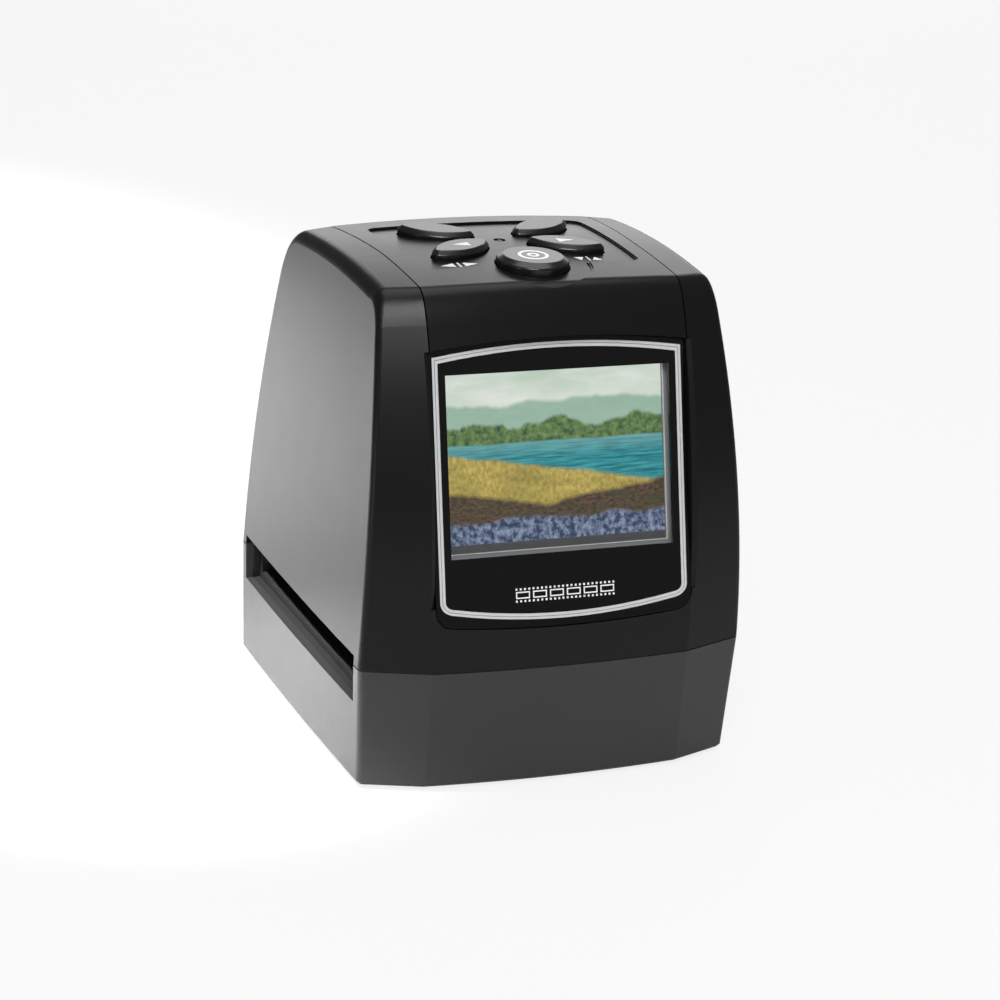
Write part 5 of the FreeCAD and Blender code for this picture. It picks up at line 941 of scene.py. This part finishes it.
class SCANNER_OT_casing(bpy.types.Operator):
    """Finishes the shells, the feet, the sockets and the screws that show"""

    bl_idname = "scanner.casing"
    bl_label = "Casing"

    def execute(self, context):
        housing = moulded_plastic(
            "housing_black", colours().housing, roughness=0.30, grain_per_mm=4.0, grain_depth=0.006,
            gloss=0.2,
        )
        apply_finish(housing, "upper_housing", "top_cover")
        base = moulded_plastic(
            "base_grey", colours().base, roughness=0.42, grain_per_mm=4.0, grain_depth=0.010,
            # Painted shade inside the film slot's mouth.
            painted_shade_mask=slot_mouth,
        )
        apply_finish(base, "base_shell")
        apply_finish(soft_rubber(), "rubber_feet")
        apply_finish(tinted_lens(), "indicator_light")
        steel = plated_metal("plated_steel", STEEL_COLOUR, roughness=0.26)
        apply_finish(steel, "data_socket", "card_socket", "base_screws")
        socket = moulded_plastic(
            "socket_black", tone(28, 28, 29), roughness=0.4, grain_per_mm=6.0, grain_depth=0.02,
        )
        apply_finish(socket, "picture_socket")
        return {"FINISHED"}


class SCANNER_OT_insides(bpy.types.Operator):
    """Finishes the film track, the camera, the light, the boards and their fixings"""

    bl_idname = "scanner.insides"
    bl_label = "Insides"

    def execute(self, context):
        matte = moulded_plastic(
            "matte_black", tone(22, 22, 22), roughness=0.7, grain_per_mm=5.0, grain_depth=0.03,
        )
        apply_finish(matte, "film_track_lower", "film_track_upper", "camera_tower", "lens_barrel")
        apply_finish(opal_plastic(), "light_box", "light_diffuser")
        laminate = board_laminate(colours().board)
        apply_finish(laminate, "main_board", "button_board", "sensor_board", "backlight_board")
        chip = moulded_plastic(
            "chip_black", tone(34, 34, 35), roughness=0.45, grain_per_mm=5.0, grain_depth=0.02,
        )
        apply_finish(chip, "board_chips", "image_sensor", "switches")
        apply_finish(lamp_epoxy(), "backlight_lamps")
        apply_finish(coated_lens(), "lens_glass")
        apply_finish(ribbon_film(), "screen_ribbon", "sensor_ribbon", "button_ribbon", "light_ribbon")
        screws = [name for name in NODES if name.endswith("_screws")]
        apply_finish(bpy.data.materials["plated_steel"], "detent_pin", "detent_spring", *screws)
        apply_finish(plated_metal("turned_brass", BRASS_COLOUR, roughness=0.3), "detent_cap")
        return {"FINISHED"}


# Studio.
def add_lamp(kind, name, place, target, power):
    """A lamp that is turned to its target."""
    clear_selection()
    bpy.ops.object.light_add(type=kind, location=place)
    lamp = bpy.context.object
    lamp.name = name
    lamp.data.energy = power
    lamp.rotation_mode = "QUATERNION"
    lamp.rotation_quaternion = (Vector(place) - Vector(target)).to_track_quat("Z", "Y")
    return lamp


def add_softbox(name, place, target, size, power):
    """A round area lamp that the camera doesn't see."""
    lamp = add_lamp("AREA", name, place, target, power)
    lamp.data.shape = "DISK"
    lamp.data.size = size
    lamp.visible_camera = False


def add_spot(name, place, target, spread, power):
    """A soft-edged spot that lights a patch of the floor; the left side mirrors that patch."""
    lamp = add_lamp("SPOT", name, place, target, power)
    lamp.data.spot_size = spread
    lamp.data.spot_blend = 1.0
    lamp.data.shadow_soft_size = 0.01


def white_set():
    """Pale floor: mostly white to the camera and through glass, and lit by the lamps for all else."""
    lit_level = 0.7
    glow_share = 0.82
    material = bpy.data.materials.new("white_set")
    material.use_nodes = True
    tree = material.node_tree
    tree.nodes.clear()
    lit = tree.nodes.new("ShaderNodeBsdfDiffuse")
    lit.inputs["Color"].default_value = (lit_level, lit_level, lit_level, 1)
    glow = tree.nodes.new("ShaderNodeEmission")
    glow.inputs["Strength"].default_value = 1.0
    rays = tree.nodes.new("ShaderNodeLightPath")
    either = tree.nodes.new("ShaderNodeMath")
    either.operation = "MAXIMUM"
    tree.links.new(rays.outputs["Is Camera Ray"], either.inputs[0])
    tree.links.new(rays.outputs["Is Transmission Ray"], either.inputs[1])
    share = tree.nodes.new("ShaderNodeMath")
    share.operation = "MULTIPLY"
    share.inputs[1].default_value = glow_share
    tree.links.new(either.outputs[0], share.inputs[0])
    mix = tree.nodes.new("ShaderNodeMixShader")
    tree.links.new(share.outputs[0], mix.inputs[0])
    tree.links.new(lit.outputs[0], mix.inputs[1])
    tree.links.new(glow.outputs[0], mix.inputs[2])
    output = tree.nodes.new("ShaderNodeOutputMaterial")
    tree.links.new(mix.outputs[0], output.inputs["Surface"])
    return material


class SCANNER_OT_stage(bpy.types.Operator):
    """Sets the floor, the lamps, the room light and the camera"""

    bl_idname = "scanner.stage"
    bl_label = "Stage"

    def execute(self, context):
        setting = studio()
        white = white_set()
        clear_selection()
        bpy.ops.mesh.primitive_plane_add(size=6, location=(0, 0, 0))
        floor = context.object
        floor.name = "floor"
        floor.data.materials.append(white)

        add_softbox(
            "key", place=(-0.35, -0.95, 1.05), target=(0, 0, 0.05), size=0.7, power=setting.key_power,
        )
        add_softbox(
            "overhead", place=(0.1, 0.15, 1.2), target=(0, 0, 0.05), size=1.0, power=setting.overhead_power,
        )
        add_softbox(
            "rear", place=(0.5, 1.15, 0.5), target=(0, 0, 0.1), size=0.9, power=setting.rear_power,
        )
        add_softbox(
            "left", place=(-1.15, -0.55, 0.12), target=(0, 0, 0.06), size=0.3, power=setting.left_power,
        )
        add_spot(
            "far_floor", place=(-0.18, 0.30, 0.9), target=(-0.16, 0.27, 0), spread=0.62,
            power=setting.far_floor_power,
        )
        add_spot(
            "near_floor", place=(-0.30, 0.02, 0.5), target=(-0.075, 0.01, 0), spread=0.28,
            power=setting.near_floor_power,
        )

        world = context.scene.world or bpy.data.worlds.new("room")
        context.scene.world = world
        world.use_nodes = True
        tree = world.node_tree
        tree.nodes.clear()
        room = tree.nodes.new("ShaderNodeBackground")
        room.inputs["Color"].default_value = (1, 1, 1, 1)
        room.inputs["Strength"].default_value = setting.world_level
        page = tree.nodes.new("ShaderNodeBackground")
        page.inputs["Color"].default_value = (1, 1, 1, 1)
        rays = tree.nodes.new("ShaderNodeLightPath")
        mix = tree.nodes.new("ShaderNodeMixShader")
        output = tree.nodes.new("ShaderNodeOutputWorld")
        tree.links.new(rays.outputs["Is Camera Ray"], mix.inputs[0])
        tree.links.new(room.outputs[0], mix.inputs[1])
        tree.links.new(page.outputs[0], mix.inputs[2])
        tree.links.new(mix.outputs[0], output.inputs["Surface"])

        bpy.ops.object.camera_add()
        camera = context.object
        camera.name = "photo_camera"
        az, el = setting.azimuth, setting.elevation
        back = Vector((math.sin(az) * math.cos(el), -math.cos(az) * math.cos(el), math.sin(el)))
        right = Vector((math.cos(az), math.sin(az), 0))
        up = back.cross(right)
        side = right * math.cos(setting.roll) + up * math.sin(setting.roll)
        over = up * math.cos(setting.roll) - right * math.sin(setting.roll)
        place = Vector(setting.aim) + back * setting.distance
        turned = Matrix((side, over, back)).transposed().to_4x4()
        camera.matrix_world = Matrix.Translation(place) @ turned
        camera.data.lens = setting.lens
        camera.data.sensor_width = 36
        camera.data.clip_start = 0.01
        context.scene.camera = camera
        context.scene.view_settings.view_transform = "Standard"
        return {"FINISHED"}


class SCANNER_PT_panel(bpy.types.Panel):
    """Lists the scanner's steps and settings"""

    bl_idname = "SCANNER_PT_panel"
    bl_label = "Film scanner"
    bl_space_type = "VIEW_3D"
    bl_region_type = "UI"
    bl_category = "Film scanner"

    def draw(self, context):
        for step in STEPS:
            self.layout.operator(step.bl_idname)
        for settings in (sizes(), colours(), studio()):
            box = self.layout.box()
            for name in settings.bl_rna.properties.keys():
                if name not in ("rna_type", "name"):
                    box.prop(settings, name)


STEPS = (
    SCANNER_OT_casing,
    SCANNER_OT_screen,
    SCANNER_OT_printed_line,
    SCANNER_OT_buttons,
    SCANNER_OT_insides,
    SCANNER_OT_stage,
)
GROUPS = (ScannerSizes, ScannerColours, ScannerStudio)


def register():
    for kind in (*GROUPS, *STEPS, SCANNER_PT_panel):
        bpy.utils.register_class(kind)
    bpy.types.Scene.scanner_sizes = PointerProperty(type=ScannerSizes)
    bpy.types.Scene.scanner_colours = PointerProperty(type=ScannerColours)
    bpy.types.Scene.scanner_studio = PointerProperty(type=ScannerStudio)


def unregister():
    del bpy.types.Scene.scanner_studio
    del bpy.types.Scene.scanner_colours
    del bpy.types.Scene.scanner_sizes
    for kind in (SCANNER_PT_panel, *reversed(STEPS), *reversed(GROUPS)):
        bpy.utils.unregister_class(kind)


def main():
    register()
    bpy.ops.scanner.casing()
    bpy.ops.scanner.screen()
    bpy.ops.scanner.printed_line()
    bpy.ops.scanner.buttons()
    bpy.ops.scanner.insides()
    bpy.ops.scanner.stage()


if __name__ == "__main__":
    main()
